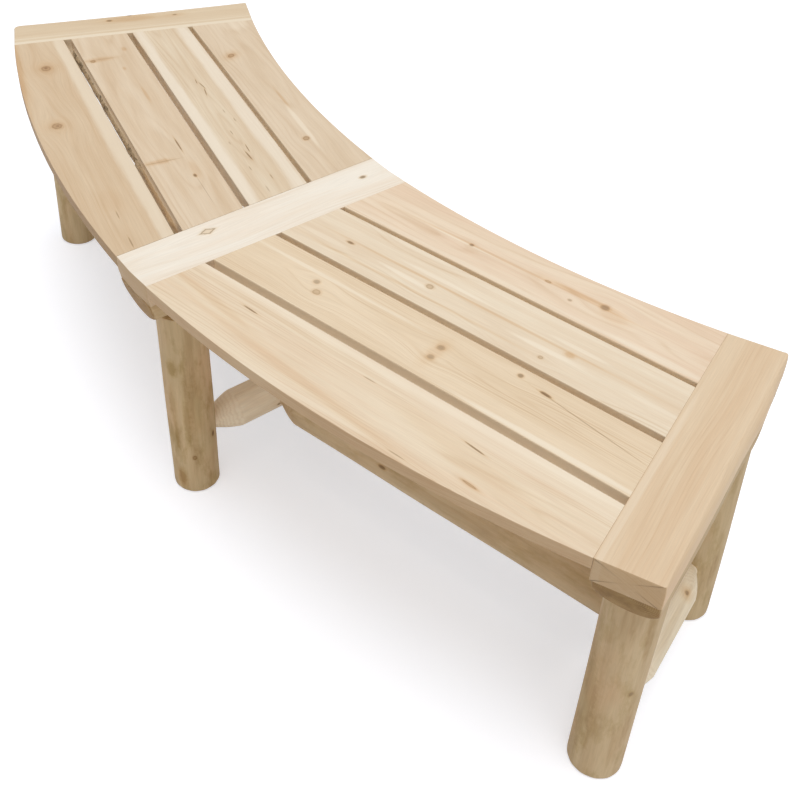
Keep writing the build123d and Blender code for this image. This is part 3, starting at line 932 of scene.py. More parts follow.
# How far a slat's low edge stands out below its top, where it isn't square
SLAT_SKIRTS = {(Side.LEFT, 2): 7.2, (Side.LEFT, 3): 2.2}
# A share of pale tan on a slat's sides paints light on them
SLAT_FINISHES = {
    # Its darker edge tint paints shade on this slat's sides
    (Side.RIGHT, 1): SawnSoftwood(
        spring="#E8D6BC", blush="#E0C7AA", edge="#D8CAB8", pith=(10.0, -60.0), seed=3.7,
        marks=board_marks({
            SAP: ((420, 72, 1100, 20, 0, 0.5), (620, 60, 420, 34, 0, 0.35),
                  (330, -36, 260, 10, 2, 0.3)),
            CHECK: ((182, 45, 28, 2.6, -3, 0.9), (560, 36, 32, 2.4, -6, 0.9),
                    (390, 45, 20, 2, 0, 0.5), (497, -33, 26, 2, 0, 0.5)),
            STAIN: ((588, -14, 30, 7, -4, 0.6), (300, -10, 360, 12, -6, 0.4),
                    (130, 26, 170, 12, -8, 0.5), (560, 18, 190, 26, -8, 0.3)),
            KNOT: ((589, -14, 20, 3, -4, 0.8),),
        })),
    (Side.RIGHT, 2): SawnSoftwood(
        spring="#E8D4B8", blush="#DFC8A9", painted_side_light=0.6, pith=(146.0, -26.0), tilt=(1.6, 0.3),
        seed=7.4, contrast=0.42, marks=board_marks({
            SAP: ((210, 166, 330, 7, 0, 0.5), (640, 96, 300, 10, 0, 0.7)),
            KNOT: ((222, 132, 12, 10, 0, 0.8),),
            PIN: ((207, 149, 10, 9, 0, 0.65), (528, 177, 8, 7, 0, 0.85),
                  (420, 153, 11, 10, 0, 0.6), (421, 130, 10, 9, 0, 0.6)),
            CHECK: ((571, 169, 18, 5, -4), (640, 158, 170, 1.8, -8, 0.5)),
            STAIN: ((420, 141, 20, 50, 0, 0.5),),
        })),
    (Side.RIGHT, 3): SawnSoftwood(
        spring="#E9D9C1", blush="#E0CAAE", painted_side_light=0.12, pith=(262.0, -200.0), seed=11.1,
        contrast=0.36, marks=board_marks({
            SAP: ((350, 267, 160, 8, 0, 0.6), (290, 240, 100, 8, -2, 0.65),
                  (530, 240, 110, 9, 1, 0.65), (560, 270, 90, 7, 0, 0.5),
                  (420, 299, 700, 9, 0, 0.3), (140, 236, 90, 10, 0, 0.4),
                  (690, 240, 90, 9, 0, 0.4)),
            PIN: ((181, 250, 12, 5),),
            KNOT: ((330, 245, 11, 9, 0, 0.8), (527, 223, 7, 6, 0, 0.75)),
            STAIN: ((553, 252, 14, 9), (400, 256, 420, 4, 0, 0.8), (300, 222, 360, 5, 0, 0.6)),
        })),
    (Side.RIGHT, 4): SawnSoftwood(
        spring="#EAD6BD", blush="#E3C9AE", painted_side_light=0.8, pith=(360.0, -160.0), seed=14.8,
        marks=board_marks({
            SAP: ((300, 361, 110, 4, 0, 0.5), (400, 320, 640, 8, 0, 0.35),
                  (650, 322, 160, 12, 0, 0.5)),
            PIN: ((315, 363, 7, 6, 0, 0.85), (536, 367, 13, 12, 0, 0.75),
                  (491, 349, 6, 5, 0, 0.6)),
            KNOT: ((446, 364, 9, 5, 0, 0.8),),
            STAIN: ((496, 369, 90, 7), (400, 364, 330, 4, 0, 0.7), (556, 356, 40, 20, 0, 0.5)),
        })),
    # The left half's slats have darker tans than the right's: painted shade, for light that falls
    # off towards the left
    (Side.LEFT, 1): SawnSoftwood(
        # Its darker edge tint paints shade on this slat's sides
        spring="#D8C1A3", blush="#D0B594", sap="#E9DBC5", edge="#CBBDA8", pith=(14.0, -36.0),
        seed=18.5, contrast=0.2, marks=board_marks({
            SAP: ((400, 66, 1200, 25, 0, 0.6),),
            KNOT: ((637, 22, 18, 16, 0, 0.85), (430, -7, 17, 16, 0, 0.85)),
            PIN: ((639, 22, 7, 6, 0, 0.6), (430, -6, 6, 5, 0, 0.5)),
            CHECK: ((65, 14, 28, 2.2, 0, 0.6), (140, 15, 20, 2, 0, 0.5)),
            STAIN: ((180, 12, 60, 30, 0, 0.3), (637, 22, 44, 40, 0, 0.4),
                    (430, -7, 44, 40, 0, 0.4), (630, -29, 280, 18, 6.6, 0.9)),
        })),
    (Side.LEFT, 2): SawnSoftwood(
        spring="#DFCBB1", blush="#D7BFA1", pith=(150.0, -200.0), seed=22.2, contrast=0.3,
        bark_below=88.4, marks=board_marks({
            CHECK: ((297, 158, 44, 2.6, 0, 0.9), (150, 155, 90, 1.6, 0, 0.3),
                    (257, 120, 3, 56, 1, 0.3), (635, 122, 4, 50, 4, 0.2)),
            PIN: ((199, 154, 9, 5),),
            KNOT: ((632, 105, 9, 8),),
            STAIN: ((258, 112, 12, 40, 0, 0.8), (635, 118, 15, 50, 4, 0.7),
                    (585, 150, 12, 6, 0, 0.8), (480, 158, 50, 5, 0, 0.7),
                    (660, 170, 14, 8, 0, 0.8), (215, 160, 50, 12, 0, 0.5)),
        })),
    (Side.LEFT, 3): SawnSoftwood(
        spring="#E0CEB4", blush="#D7C0A2", sap="#EEE2D0", pith=(252.0, -46.0), seed=25.9,
        contrast=0.3, marks=board_marks({
            SAP: ((400, 212, 1200, 22, 0, 0.65), (400, 293, 1200, 25, 0, 0.65)),
            CHECK: ((222, 251, 28, 2.4, -4, 0.9), (244, 257, 24, 2, 3, 0.8),
                    (448, 255, 26, 2, 9, 0.8), (472, 257, 26, 2, -8, 0.8),
                    (490, 252, 16, 2, 6, 0.7), (150, 262, 14, 2, 0, 0.5),
                    (185, 240, 12, 2, 0, 0.5), (300, 250, 14, 2, 0, 0.5),
                    (338, 269, 12, 2, 0, 0.5), (270, 236, 10, 2, 0, 0.4),
                    (120, 244, 18, 2, 0, 0.4), (372, 262, 12, 2, 0, 0.4)),
        })),
    (Side.LEFT, 4): SawnSoftwood(
        spring="#DFCBB1", blush="#D5BEA1", painted_side_light=0.8, pith=(380.0, -120.0), seed=29.6,
        contrast=0.3, marks=board_marks({
            SAP: ((270, 366, 170, 9, 0, 0.5), (690, 390, 60, 60, 0, 0.3)),
            KNOT: ((236, 356, 12, 10, 40), (560, 342, 14, 10, 50)),
            STAIN: ((380, 369, 60, 5, 0, 0.8), (560, 342, 36, 24, 50, 0.6)),
        })),
}
# Its darker edge tint paints shade on this board's sides
CENTRE_BOARD_FINISH = SawnSoftwood(
    spring="#F1E8DA", summer="#DECAAE", sap="#F7F1E6", blush="#EDDECB", edge="#E4D6C4",
    end="#AE8E64", pith=(10.0, -120.0), contrast=0.24, seed=5.1,
    marks=board_marks({DIAMOND: ((-166.0, 20.5, 27.0, 13.0),), PIN: ((106.4, 6.7, 11.0, 7.0),)}))
END_BOARD_FINISHES = {
    Side.RIGHT: SawnSoftwood(
        spring="#DFC8AA", summer="#DFCBAE", blush="#D9BD9C", end="#A68862", pith=(41.0, -190.0),
        contrast=0.22, seed=8.3, marks=board_marks({SAP: ((60, -6, 500, 10, 0, 0.3),)})),
    Side.LEFT: SawnSoftwood(
        spring="#DDC9AC", summer="#DCC6A6", sap="#ECDFC9", blush="#D5BE9F", pith=(60.0, -60.0),
        contrast=0.26, seed=11.9, marks=board_marks({
            SAP: ((225, -5, 1200, 12, 0, 0.7), (225, -20, 1200, 5, 0, 0.35)),
            PIN: ((294, -59, 8, 5, 0, 0.7), (169, -61, 10, 7, 0, 0.9), (209, -76, 9, 6, 0, 0.8)),
            STAIN: ((212, -62, 90, 22, 0, 0.8), (294, -58, 40, 14, 0, 0.5)),
        })),
}


def log_bulge(t: Array) -> Array:
    """How far an end trestle's log passes its board: 14 t (1 - t), and a lump at t = 0.78."""
    return 14.0 * t * (1 - t) + 2.8 * np.exp(-((t - 0.78) / 0.12) ** 2) * t * (1 - t) / 0.17


@dataclass
class Seat:
    """The eight slats and three cross boards, their ends eased each in its own way."""

    plan: SeatPlan = SeatPlan()
    slat_rows: int = 90
    slat_ease: float = 0.45
    board_rows: int = 70
    centre_ease: float = 1.3
    end_ease: float = 1.6
    swell_depth: float = 24.0

    def slat(self, side: Side, number: int) -> None:
        """Builds and dresses one slat.

        Args:
            side: its half.
            number: 1 at the bowed side to 4 at the hollow side.
        """
        distance, inset = eased_steps(SLAT_RUN, self.slat_ease, self.slat_rows)
        low, high = (self.plan.edge_line(edge, distance / SLAT_RUN)
                     for edge in self.plan.edges()[number - 1])
        skirt = SLAT_SKIRTS.get((side, number), 0.0)

        def wane(along: Array, across: Array, depth: Array) -> Array:
            """Lets the low edge stand out below by its skirt, uneven along it where it is wide.

            Args:
                along: distances along the slat.
                across: shares of its width.
                depth: distances below its top.

            Returns:
                How far the points move across.
            """
            uneven = 1 + 0.07 * ripple(number, (along, 70.0), (depth, 12.0), waves=9) * (skirt > 3)
            out = skirt * smooth_step(3.0, 14.0, depth) * smooth_step(8.0, 40.0, along)
            out = out * smooth_step(8.0, 40.0, SLAT_RUN - along) * uneven
            return -out * (1 - smooth_step(0.0, 0.16, across))

        rings = board_rings(low, high, distance, inset, SlabSection(SLAT_THICKNESS),
                            wane if skirt else None)
        name = f"{side.name.lower()}_slat_{number}"
        piece = closed_loft(f"{name}_board", to_bench(rings, side))
        placement = Placement.on_seat(HALF_TURN, (0.0, -HALF_SETBACK), side.value)
        material = SLAT_FINISHES[side, number].material(f"white_cedar_sawn_{name}", placement)
        finish_piece(piece, name, material)

    def centre_board(self) -> None:
        """Builds and dresses the board between the halves; both arcs meet in its blunt ends.

        Each end runs straight from its corner to the middle, y = middle + (corner - middle)
        |x| / reach, and curves in below the slats to meet the rail's end.
        """
        plan = self.plan
        reach = plan.centre_width / 2
        (start, start_corner), (stop, stop_corner) = (
            [float(to_bench(np.array([*cut.meets(arc), 0.0]))[1])
             for cut in (plan.middle, plan.centre_seam)] for arc in (plan.outer, plan.inner))
        distance, inset = eased_steps(BOARD_RUN, self.centre_ease, self.board_rows)
        steps = distance / BOARD_RUN
        low = np.stack([np.full_like(steps, -reach), np.zeros_like(steps)], axis=1)
        section = SlabSection(BOARD_THICKNESS, columns=24, side_rows=7)
        rings = board_rings(low, -low, distance, inset, section)
        lean = np.abs(rings[..., 0]) / reach
        tuck = 3.0 * smooth_step(SLAT_THICKNESS, BOARD_THICKNESS, SEAT_TOP - rings[..., 2])
        near = start + (start_corner - start) * lean + tuck
        far = stop + (stop_corner - stop) * lean - tuck
        rings[..., 1] = near + (far - near) * steps[:, None]
        piece = closed_loft("centre_cross_board", rings)
        material = CENTRE_BOARD_FINISH.material("white_cedar_sawn_centre_board",
                                                Placement.on_seat(90.0, (0.0, 0.0)))
        finish_piece(piece, "centre_board", material)

    def end_board(self, side: Side) -> None:
        """Builds and dresses the board across a half's end, with its slightly swelling free edge.

        Args:
            side: its half.
        """
        plan = self.plan
        seam = plan.end_seam
        round_off = END_CORNERS[side]
        distance, inset = eased_steps(BOARD_RUN, self.end_ease, self.board_rows,
                                      max(round_off) + 1.0)
        steps = (distance / BOARD_RUN)[:, None]
        corners = [[np.array(cut.meets(arc)) for arc in (plan.outer, plan.inner)]
                   for cut in (seam, seam.moved(plan.end_width))]
        low, high = (start + (stop - start) * steps for start, stop in corners)

        def natural(along: Array, across: Array, depth: Array) -> Array:
            """Leaves the free side as round as its log.

            The side is a quarter circle, swell_depth deep. It starts up to 6 mm inside the board's
            line at the top, and ends as far outside it as the log bulges. Seen from above its
            corners are rounded: at a distance d from an end, within a radius r of it, the side is
            drawn in by r - sqrt(r^2 - (r - d)^2).

            Args:
                along: distances along the board.
                across: shares of its width.
                depth: distances below its top.

            Returns:
                How far the points move across.
            """
            t = np.clip(along / BOARD_RUN, 0, 1)
            tucked = 1.2 + 5.0 * np.sin(np.pi * t) ** 0.6
            rounded = np.sqrt(1 - (1 - np.clip(depth / self.swell_depth, 0, 1)) ** 2)
            out = (log_bulge(t) + tucked) * rounded - tucked
            for radius, d in zip(round_off, (along, BOARD_RUN - along)):
                out = out - radius + np.sqrt(radius**2 - np.clip(radius - d, 0, radius) ** 2)
            return out * smooth_step(0.72, 1.0, across)

        section = SlabSection(BOARD_THICKNESS, ease=0.6, side_rows=9)
        rings = to_bench(board_rings(low, high, distance, inset, section, natural), side)
        name = f"{side.name.lower()}_end"
        piece = closed_loft(f"{name}_cross_board", rings)
        start = to_bench(np.array([seam.along, seam.across, SEAT_TOP]))[:2]
        placement = Placement.on_seat(HALF_TURN + seam.turn + 90.0, start, side.value)
        material = END_BOARD_FINISHES[side].material(f"white_cedar_sawn_{name}_board", placement)
        finish_piece(piece, f"{name}_board", material)

    def build(self) -> None:
        """Builds every board of the seat."""
        for side in Side:
            for number in (1, 2, 3, 4):
                self.slat(side, number)
            self.end_board(side)
        self.centre_board()


# ---------------------------------------------------------------- trestles


@dataclass(frozen=True)
class LogShape:
    """How a peeled log departs from a true round, in millimetres."""

    name: str
    uneven: float = 0.8
    facet: float = 0.35
    facets: int = 13

    @property
    def seed(self) -> int:
        """A number for the log, from the letters of its name."""
        return sum(map(ord, self.name))

    def shift(self, angle: Array, distance: Array) -> Array:
        """Radial departure: slow ripples round and along the log, and shallow drawknife facets.

        Args:
            angle: round the log, in radians.
            distance: along the log, in millimetres.

        Returns:
            What is added to the radius.
        """
        rng = np.random.default_rng(self.seed)
        lobes = 0.0
        for lobe in (2, 3, 5):
            phase = rng.uniform(0, 2 * np.pi)
            phase = phase + 0.7 * np.sin(distance / rng.uniform(70, 160) + rng.uniform(0, 6))
            lobes = lobes + np.cos(lobe * angle + phase) / lobe
        along = np.sin(distance / rng.uniform(40, 90) + rng.uniform(0, 6))
        twist = 0.9 * np.sin(distance / 120.0 + self.seed)
        cut = np.abs(np.sin(0.5 * self.facets * angle + twist))
        return self.uneven * (0.8 * lobes + 0.35 * along) + self.facet * (cut - 1)


@dataclass(frozen=True)
class Log:
    """A log piece of a trestle, which knows how to be dressed."""

    name: str

    def dress_log(self, points: Array, finish: PeeledLog, foot: Sequence[float],
                  head: Sequence[float], ending: str = "log") -> None:
        """Makes the log's mesh and dresses it in the place of its node.

        Args:
            points: its rings in millimetres.
            finish: its finish.
            foot: one end of its axis.
            head: the other end.
            ending: what the object's name ends with.
        """
        piece = closed_loft(f"{self.name}_{ending}", points, crease=50.0)
        placement = Placement.along_log(foot, head)
        material = finish.material(f"white_cedar_peeled_{self.name}", placement)
        finish_piece(piece, self.name, material)


@dataclass(frozen=True)
class Rail(Log):
    """A half-log rail and the cross board's line over it."""

    middle: Array
    direction: Array
    board_length: float
    width: float
    free_side: int
    radius: float = 47.5
    setback: float = 3.0
    undercut: float = 12.0
    end_scoop: float = 5.0
    leg_inset: float = 71.0

    def place(self, distance: float) -> Array:
        """A point on the rail's line, at its flat top."""
        return self.middle + self.direction * distance

    def leg_tops(self) -> tuple[Array, Array]:
        """Where the outer and the inner leg's axis meets the rail's flat top."""
        reach = self.board_length / 2 - self.leg_inset
        return self.place(-reach), self.place(reach)

    def build(self, finish: PeeledLog) -> None:
        """Builds the rail: the part of a log below its axis, as wide as its board.

        A section point lies at angle f below the log's flat top: (R cos f, -R sin f), cut off at
        half the board's width. The ends lean back by undercut * depth / R, and those of an end
        rail by scoop * (depth / R)^3 more.

        Args:
            finish: its finish.
        """
        half = self.width / 2
        rim = np.arccos(half / self.radius)
        under = np.linspace(rim + 0.03, np.pi - rim - 0.03, 44)
        side = np.linspace(1.5, self.radius * sin(rim) - 1.5, 7)
        top = np.linspace(-half, half, 12) * 0.985
        across = np.concatenate([top, np.full(7, half), self.radius * np.cos(under),
                                 np.full(7, -half)])
        depth = np.concatenate([np.zeros(12), side, self.radius * np.sin(under), side[::-1]])
        length = self.board_length - 2 * self.setback
        distance, inset = eased_steps(length, 5.0, 60)
        shape = LogShape(self.name, uneven=0.7, facet=0.25)
        wavy = shape.shift(np.arctan2(depth, across)[None], distance[:, None])
        wavy = wavy * smooth_step(6.0, 22.0, depth)[None]
        reach = 1 + wavy / self.radius - inset[:, None] / self.radius
        across = np.clip(across[None] * reach, -half, half)
        depth = depth[None] * reach
        deep = depth / self.radius
        lean = self.undercut * deep + self.end_scoop * abs(self.free_side) * deep**3
        share = (distance / length)[:, None]
        bulge = log_bulge(share) * smooth_step(0.55 * half, half, across * self.free_side)
        across = across + bulge * self.free_side
        along = -length / 2 + distance[:, None] + lean * (1 - 2 * share)
        sideways = np.array([self.direction[1], -self.direction[0], 0.0])
        points = (self.place(along[..., None]) + across[..., None] * sideways
                  - depth[..., None] * np.array([0.0, 0.0, 1.0]))
        self.dress_log(points, finish, self.place(-length / 2), self.place(length / 2), "half_log")


@dataclass(frozen=True)
class Leg(Log):
    """A log leg from its foot on the floor to the rail's flat top."""

    foot: Row
    top: Row
    radius: float = 37.0
    shoulder: float = 375.5
    cone: float = 11.5
    foot_ease: float = 4.0
    tenon_radius: float = 19.0
    tenon_length: float = 32.0
    tenon_ease: float = 1.5

    def at_height(self, height: Array | float) -> Array:
        """A point on the leg's axis, or one for each height in a column."""
        return np.array(self.foot) + (np.array(self.top) - self.foot) * (height / self.top[2])

    def build(self, finish: PeeledLog) -> None:
        """Builds the leg: a profile of radius over height, turned about the axis and made uneven.

        Its top is a shallow cone from the rim up to the tenon.

        Args:
            finish: its finish.
        """
        ease, tenon = self.foot_ease, self.tenon_radius
        arc = np.radians(np.linspace(0, 90, 6))
        foot = np.stack([ease * (1 - np.cos(arc)), self.radius - ease * (1 - np.sin(arc))], axis=1)
        rim = self.shoulder - self.cone
        body = np.linspace(ease + 4, rim - 3, 80)
        tip = self.shoulder + self.tenon_length
        head = np.array([
            [rim - 1.2, self.radius],
            [rim - 0.3, self.radius - 0.4],
            [rim + 0.4, self.radius - 1.4],
            [rim + self.cone * 0.5, (self.radius + tenon) / 2],
            [self.shoulder - 0.5, tenon + 1.0],
            [self.shoulder + 0.5, tenon],
            [tip - self.tenon_ease, tenon],
            [tip, tenon - self.tenon_ease],
        ])
        straight = np.stack([body, np.full_like(body, self.radius)], axis=1)
        height, radius = np.hsplit(np.concatenate([foot, straight, head]), 2)
        angle = np.linspace(0, 2 * np.pi, 96, endpoint=False)
        reach = radius + (LogShape(self.name).shift(angle[None], height)
                          * (height < self.shoulder - 0.1))
        points = self.at_height(height)[:, None] + np.stack(
            [reach * np.cos(angle), reach * np.sin(angle), np.zeros_like(reach)], -1)
        self.dress_log(points, finish, self.foot, self.top)


@dataclass(frozen=True)
class Stretcher(Log):
    """A log stretcher between two axes, with a tenon and a pencil taper at each end."""

    start: Array
    stop: Array
    host_radius: float
    stop_radius: float
    taper: float
    tenon_depth: float
    start_radius: float = 32.0
    tenon_radius: float = 16.0
    tenon_ease: float = 1.5
    crown: float = 1.4

    def build(self, finish: PeeledLog) -> None:
        """Builds the stretcher: a profile of radius over distance, turned about its axis.

        A taper rises from the tenon to the full radius along t, with a crown of 4 t (1 - t).

        Args:
            finish: its finish.
        """
        length = float(np.linalg.norm(self.stop - self.start))
        forward = (self.stop - self.start) / length
        shoulders = (self.host_radius, length - self.host_radius)
        tips = (shoulders[0] - self.tenon_depth, shoulders[1] + self.tenon_depth)
        full = (shoulders[0] + self.taper, shoulders[1] - self.taper)
        t = np.linspace(0, 1, 14)
        tenon, ease = self.tenon_radius, self.tenon_ease
        rise, fall = (tenon + (radius - tenon) * t + 4 * self.crown * t * (1 - t)
                      for radius in (self.start_radius, self.stop_radius))
        body = np.linspace(full[0], full[1], 90)[1:-1]
        share = (body - full[0]) / (full[1] - full[0])
        distance = np.concatenate([
            [tips[0], tips[0] + ease, shoulders[0] - 0.5], shoulders[0] + self.taper * t, body,
            (shoulders[1] - self.taper * t)[::-1], [shoulders[1] + 0.5, tips[1] - ease, tips[1]]])
        radius = np.concatenate([
            [tenon - ease, tenon, tenon], rise,
            self.start_radius + (self.stop_radius - self.start_radius) * share,
            fall[::-1], [tenon, tenon, tenon - ease]])
        angle = np.linspace(0, 2 * np.pi, 80, endpoint=False)
        shape = LogShape(self.name, uneven=0.9, facet=0.4)
        rounded = (smooth_step(shoulders[0], full[0], distance)
                   * (1 - smooth_step(full[1], shoulders[1], distance)))
        reach = radius[:, None] + shape.shift(angle[None], distance[:, None]) * rounded[:, None]
        sideways = np.array([forward[1], -forward[0], 0.0]) / np.hypot(forward[0], forward[1])
        upright = np.cross(sideways, forward)
        points = (self.start + distance[:, None, None] * forward
                  + (reach * np.cos(angle))[..., None] * sideways
                  + (reach * np.sin(angle))[..., None] * upright)
        self.dress_log(points, finish, self.start, self.stop)


# How far a foot stands out and inwards from below its leg's top
FOOT_SHIFTS = {"left_outer_leg": (-7.0, -15.0), "right_inner_leg": (12.0, 5.0)}
LOG_FINISHES = {
    # The cross stretchers have far paler skins than the other logs: painted light, where the seat
    # shades them
    "centre_cross_stretcher": PeeledLog(
        light="#FAEDD6", dark="#EEDDC2", warm="#F6E2C8", traces=0.1, seed=12.0,
        marks=log_marks({PIN: ((31.6, 4.8, 145.0, 2.4, 3.4, 0.9),)})),
    "right_cross_stretcher": PeeledLog(
        light="#F1E4CC", dark="#E2D1B5", warm="#E8D7BC", traces=0.15, seed=10.0,
        marks=log_marks({PIN: ((27.5, -16.4, 208.0, 3.2, 3.6, 0.8),),
                         STAIN: ((27.5, -16.4, 208.0, 9.0, 10.0, 0.8),)})),
    "right_long_stretcher": PeeledLog(
        light="#DCC4A0", dark="#C8AD88", warm="#D6B993", traces=0.4, seed=10.0,
        marks=log_marks({PIN: ((-5.4, -29.5, 256.0, 2.8, 7.0),)})),
    "centre_outer_leg": PeeledLog(
        light="#CEB791", dark="#BAA078", warm="#CBAA84", end="#EFE6D4", traces=0.75, seed=4.0,
        marks=log_marks({
            PATCH: ((16.0, -33.3, 267.5, 7.0, 12.0, 0.75), (29.3, -22.6, 165.0, 4.6, 38.0, 0.5),
                    (13.5, -34.4, 131.0, 3.0, 24.0, 0.65), (11.2, -35.3, 196.0, 5.0, 24.0, 0.4),
                    (35.5, -8.0, 190.0, 9.0, 46.0, 0.4), (15.0, -34.0, 32.0, 7.0, 16.0, 0.55)),
            STAIN: ((13.3, -34.5, 28.0, 8.0, 18.0),),
            PIN: ((31.8, 19.0, 114.4, 3.0, 6.0),),
            KNOT: ((32.6, -17.4, 80.5, 3.4, 4.4),)})),
    "right_outer_leg": PeeledLog(
        light="#CCB591", dark="#BBA07A", warm="#C9A883", end="#FAF2E2", traces=0.5, seed=3.0,
        marks=log_marks({
            PIN: ((34.7, -12.9, 196.0, 3.0, 4.2, 0.6),),
            PATCH: ((34.7, -12.9, 196.0, 5.0, 7.0, 0.3), (-12.0, -34.0, 150.0, 14.0, 90.0, 0.5))})),
    "right_rail": PeeledLog(end="#C2B189", seed=5.0),
}


@dataclass
class Trestles:
    """The three rails with their legs and the stretchers between them."""

    plan: SeatPlan = SeatPlan()
    stretcher_height: float = 112.0

    def rail(self, name: str, cut: Cut, side: Side, width: float, free_side: int) -> Rail:
        """The rail along a cut, from the bowed to the hollow arc.

        Args:
            name: its node's name.
            cut: the middle line of its board.
            side: its half.
            width: its board's width.
            free_side: sign of the side that shows past the seat, or 0.

        Returns:
            The rail.
        """
        start, stop = (to_bench(np.array([*cut.meets(arc), RAIL_TOP]), side)
                       for arc in (self.plan.outer, self.plan.inner))
        length = float(np.linalg.norm(stop - start))
        return Rail(name, (start + stop) / 2, (stop - start) / length, length, width, free_side)

    def legs(self, rail: Rail, side: Side, prefix: str) -> list[Leg]:
        """The outer and inner leg of a rail.

        Args:
            rail: their rail.
            side: which way their feet may stand out.
            prefix: start of their nodes' names.

        Returns:
            Both legs.
        """
        pair = []
        for place, top in zip(("outer", "inner"), rail.leg_tops()):
            name = f"{prefix}_{place}_leg"
            out, inwards = FOOT_SHIFTS.get(name, (0.0, 0.0))
            foot = (float(top[0]) + out * side.value, float(top[1]) + inwards, 0.0)
            pair.append(Leg(name, foot, tuple(map(float, top))))
        return pair

    def build(self) -> None:
        """Builds every rail, leg and stretcher."""
        plan = self.plan
        end_cut = plan.end_seam.moved(plan.end_width / 2)
        middles = {}
        for prefix, cut, side, width, free in (
            ("centre", plan.middle, Side.RIGHT, plan.centre_width, 0),
            ("right", end_cut, Side.RIGHT, plan.end_width, 1),
            ("left", end_cut, Side.LEFT, plan.end_width, -1),
        ):
            rail = self.rail(f"{prefix}_rail", cut, side, width, free)
            rail.build(LOG_FINISHES.get(rail.name, PeeledLog(seed=len(prefix))))
            legs = self.legs(rail, side, prefix)
            for leg in legs:
                seed = float(sum(map(ord, leg.name)) % 17)
                leg.build(LOG_FINISHES.get(leg.name, PeeledLog(end="#E4D8C0", seed=seed)))
            start, stop = (leg.at_height(self.stretcher_height) for leg in legs)
            middles[prefix] = (start + stop) / 2
            cross = Stretcher(f"{prefix}_cross_stretcher", start, stop, host_radius=37.0,
                              stop_radius=32.0, taper=42.0, tenon_depth=30.0)
            cross.build(LOG_FINISHES.get(cross.name, PeeledLog(seed=2.0 * len(prefix))))
        for side in Side:
            prefix = side.name.lower()
            run = Stretcher(f"{prefix}_long_stretcher", middles["centre"], middles[prefix],
                            host_radius=32.0, stop_radius=28.0, taper=38.0, tenon_depth=21.0)
            run.build(LOG_FINISHES.get(run.name, PeeledLog(seed=9.0 + side.value)))


# ---------------------------------------------------------------- studio


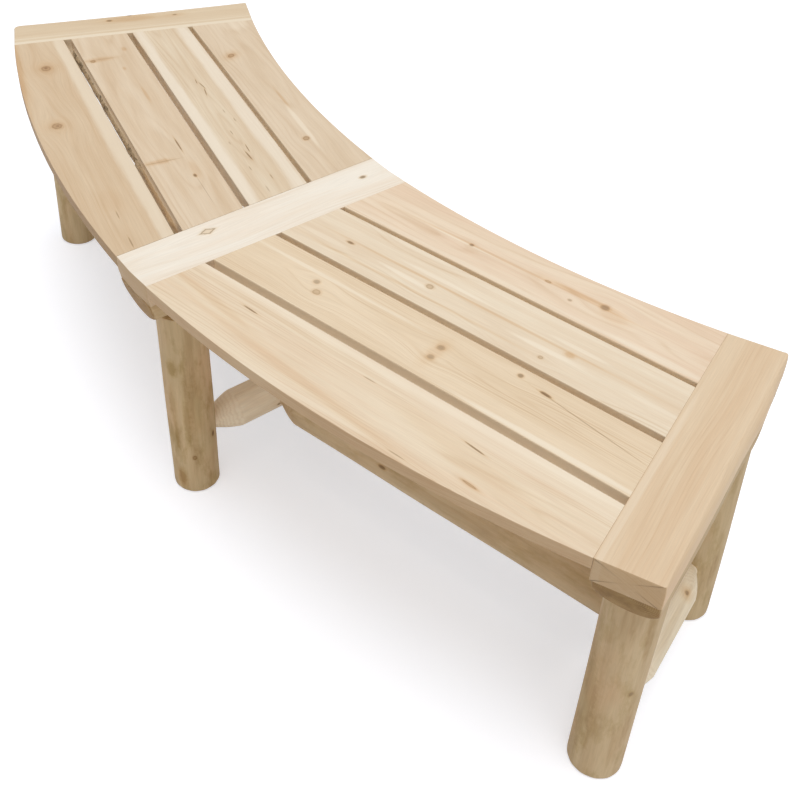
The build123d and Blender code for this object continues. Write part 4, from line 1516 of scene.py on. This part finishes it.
@dataclass(frozen=True)
class Studio:
    """Floor, light and camera."""

    floor_reach: float = 14.0
    floor_lift: float = 0.45
    floor_shade: float = 0.72
    floor_tint: Row = (0.985, 1.0, 1.045)
    lamps: tuple[tuple[str, float, Row, float], ...] = (
        ("overhead_lamp", 1.80, (0.10, -0.04, 1.0), 36.0),
        ("right_fill", 0.35, (0.90, -0.35, 0.35), 60.0))
    sky_strength: float = 0.43
    eye: Row = (1.2086, -0.8345, 1.4347)
    azimuth: float = -51.432
    down: float = 38.923
    roll: float = -1.7607
    focal: float = 1158.98
    centre: tuple[float, float] = (372.77, 308.60)
    frame_width: float = 800.0
    sensor: float = 36.0

    def floor(self) -> None:
        """A plain pale floor that shows white to the camera and keeps the shadows."""
        reach = self.floor_reach
        mesh = bpy.data.meshes.new("floor")
        mesh.from_pydata([(-reach, -reach, 0), (reach, -reach, 0), (reach, reach, 0),
                          (-reach, reach, 0)], [], [(0, 1, 2, 3)])
        floor = bpy.data.objects.new("floor", mesh)
        bpy.context.scene.collection.objects.link(floor)
        material = bpy.data.materials.new("matt_white_paper")
        nodes = Shading(material)
        shade = tuple(self.floor_shade * part for part in self.floor_tint)
        paper = nodes.add("BsdfDiffuse", {"Color": linear("#ECEAE7")})
        white = nodes.add("BsdfDiffuse", {"Color": (*shade, 1.0)})
        glow = nodes.add("Emission", {"Color": (*self.floor_tint, 1.0),
                                      "Strength": self.floor_lift})
        lifted = nodes.add("AddShader", (white, glow))
        shader = nodes.add("MixShader", (nodes.seen(), paper, lifted))
        nodes.add("OutputMaterial", {"Surface": shader})
        mesh.materials.append(material)

    def light(self) -> None:
        """A broad lamp overhead, a weak broad one at the right, and an even white sky."""
        for name, strength, towards, width in self.lamps:
            sun = bpy.data.lights.new(name, "SUN")
            sun.energy = strength
            sun.angle = radians(width)
            sun.color = (1.0, 0.992, 0.98)
            lamp = bpy.data.objects.new(name, sun)
            lamp.rotation_euler = Vector(towards).to_track_quat("Z", "Y").to_euler()
            bpy.context.scene.collection.objects.link(lamp)
        world = bpy.data.worlds.new("sky")
        nodes = Shading(world)
        strength = nodes.add("MapRange", (nodes.seen(), 0.0, 1.0, self.sky_strength, 1.0))
        sky = nodes.add("Background", {"Color": (0.97, 0.985, 1.0, 1.0), "Strength": strength})
        nodes.add("OutputWorld", {"Surface": sky})
        bpy.context.scene.world = world

    def camera(self) -> None:
        """A camera at the viewing angle, its lens and shift worked out for a square frame."""
        turn, tip, lean = radians(self.azimuth), radians(self.down), radians(self.roll)
        forward = np.array([sin(turn) * cos(tip), cos(turn) * cos(tip), -sin(tip)])
        level = np.array([cos(turn), -sin(turn), 0.0])
        below = np.cross(forward, level)
        right = cos(lean) * level + sin(lean) * below
        under = -sin(lean) * level + cos(lean) * below
        axes = np.stack([right, -under, -forward], axis=1)
        camera = bpy.data.cameras.new("camera")
        camera.sensor_width = self.sensor
        camera.lens = self.focal / self.frame_width * self.sensor
        half = self.frame_width / 2
        camera.shift_x = (half - self.centre[0]) / self.frame_width
        camera.shift_y = (self.centre[1] - half) / self.frame_width
        holder = bpy.data.objects.new("camera", camera)
        holder.matrix_world = Matrix.Translation(self.eye) @ Matrix(axes.tolist()).to_4x4()
        bpy.context.scene.collection.objects.link(holder)
        bpy.context.scene.camera = holder

    def build(self) -> None:
        """Sets up the studio."""
        self.camera()
        self.floor()
        self.light()
        bpy.context.scene.view_settings.view_transform = "Standard"


def main() -> None:
    """Builds the studio and every piece of the bench."""
    logging.basicConfig(level=logging.INFO, format="%(message)s")
    Studio().build()
    Seat().build()
    Trestles().build()
    screws = ZincScrew().material()
    for node in ("board_screws", "leg_screws"):
        dress(node, screws)
    dowel = PeeledLog(light="#DCC39C", dark="#CDAE82", warm="#D9BB90").material(
        "beech_turned_dowel", Placement.along_log((0.0, 0.0, 0.0), (0.0, 0.0, 1.0)))
    dress("slat_dowels", dowel)


if __name__ == "__main__":
    main()
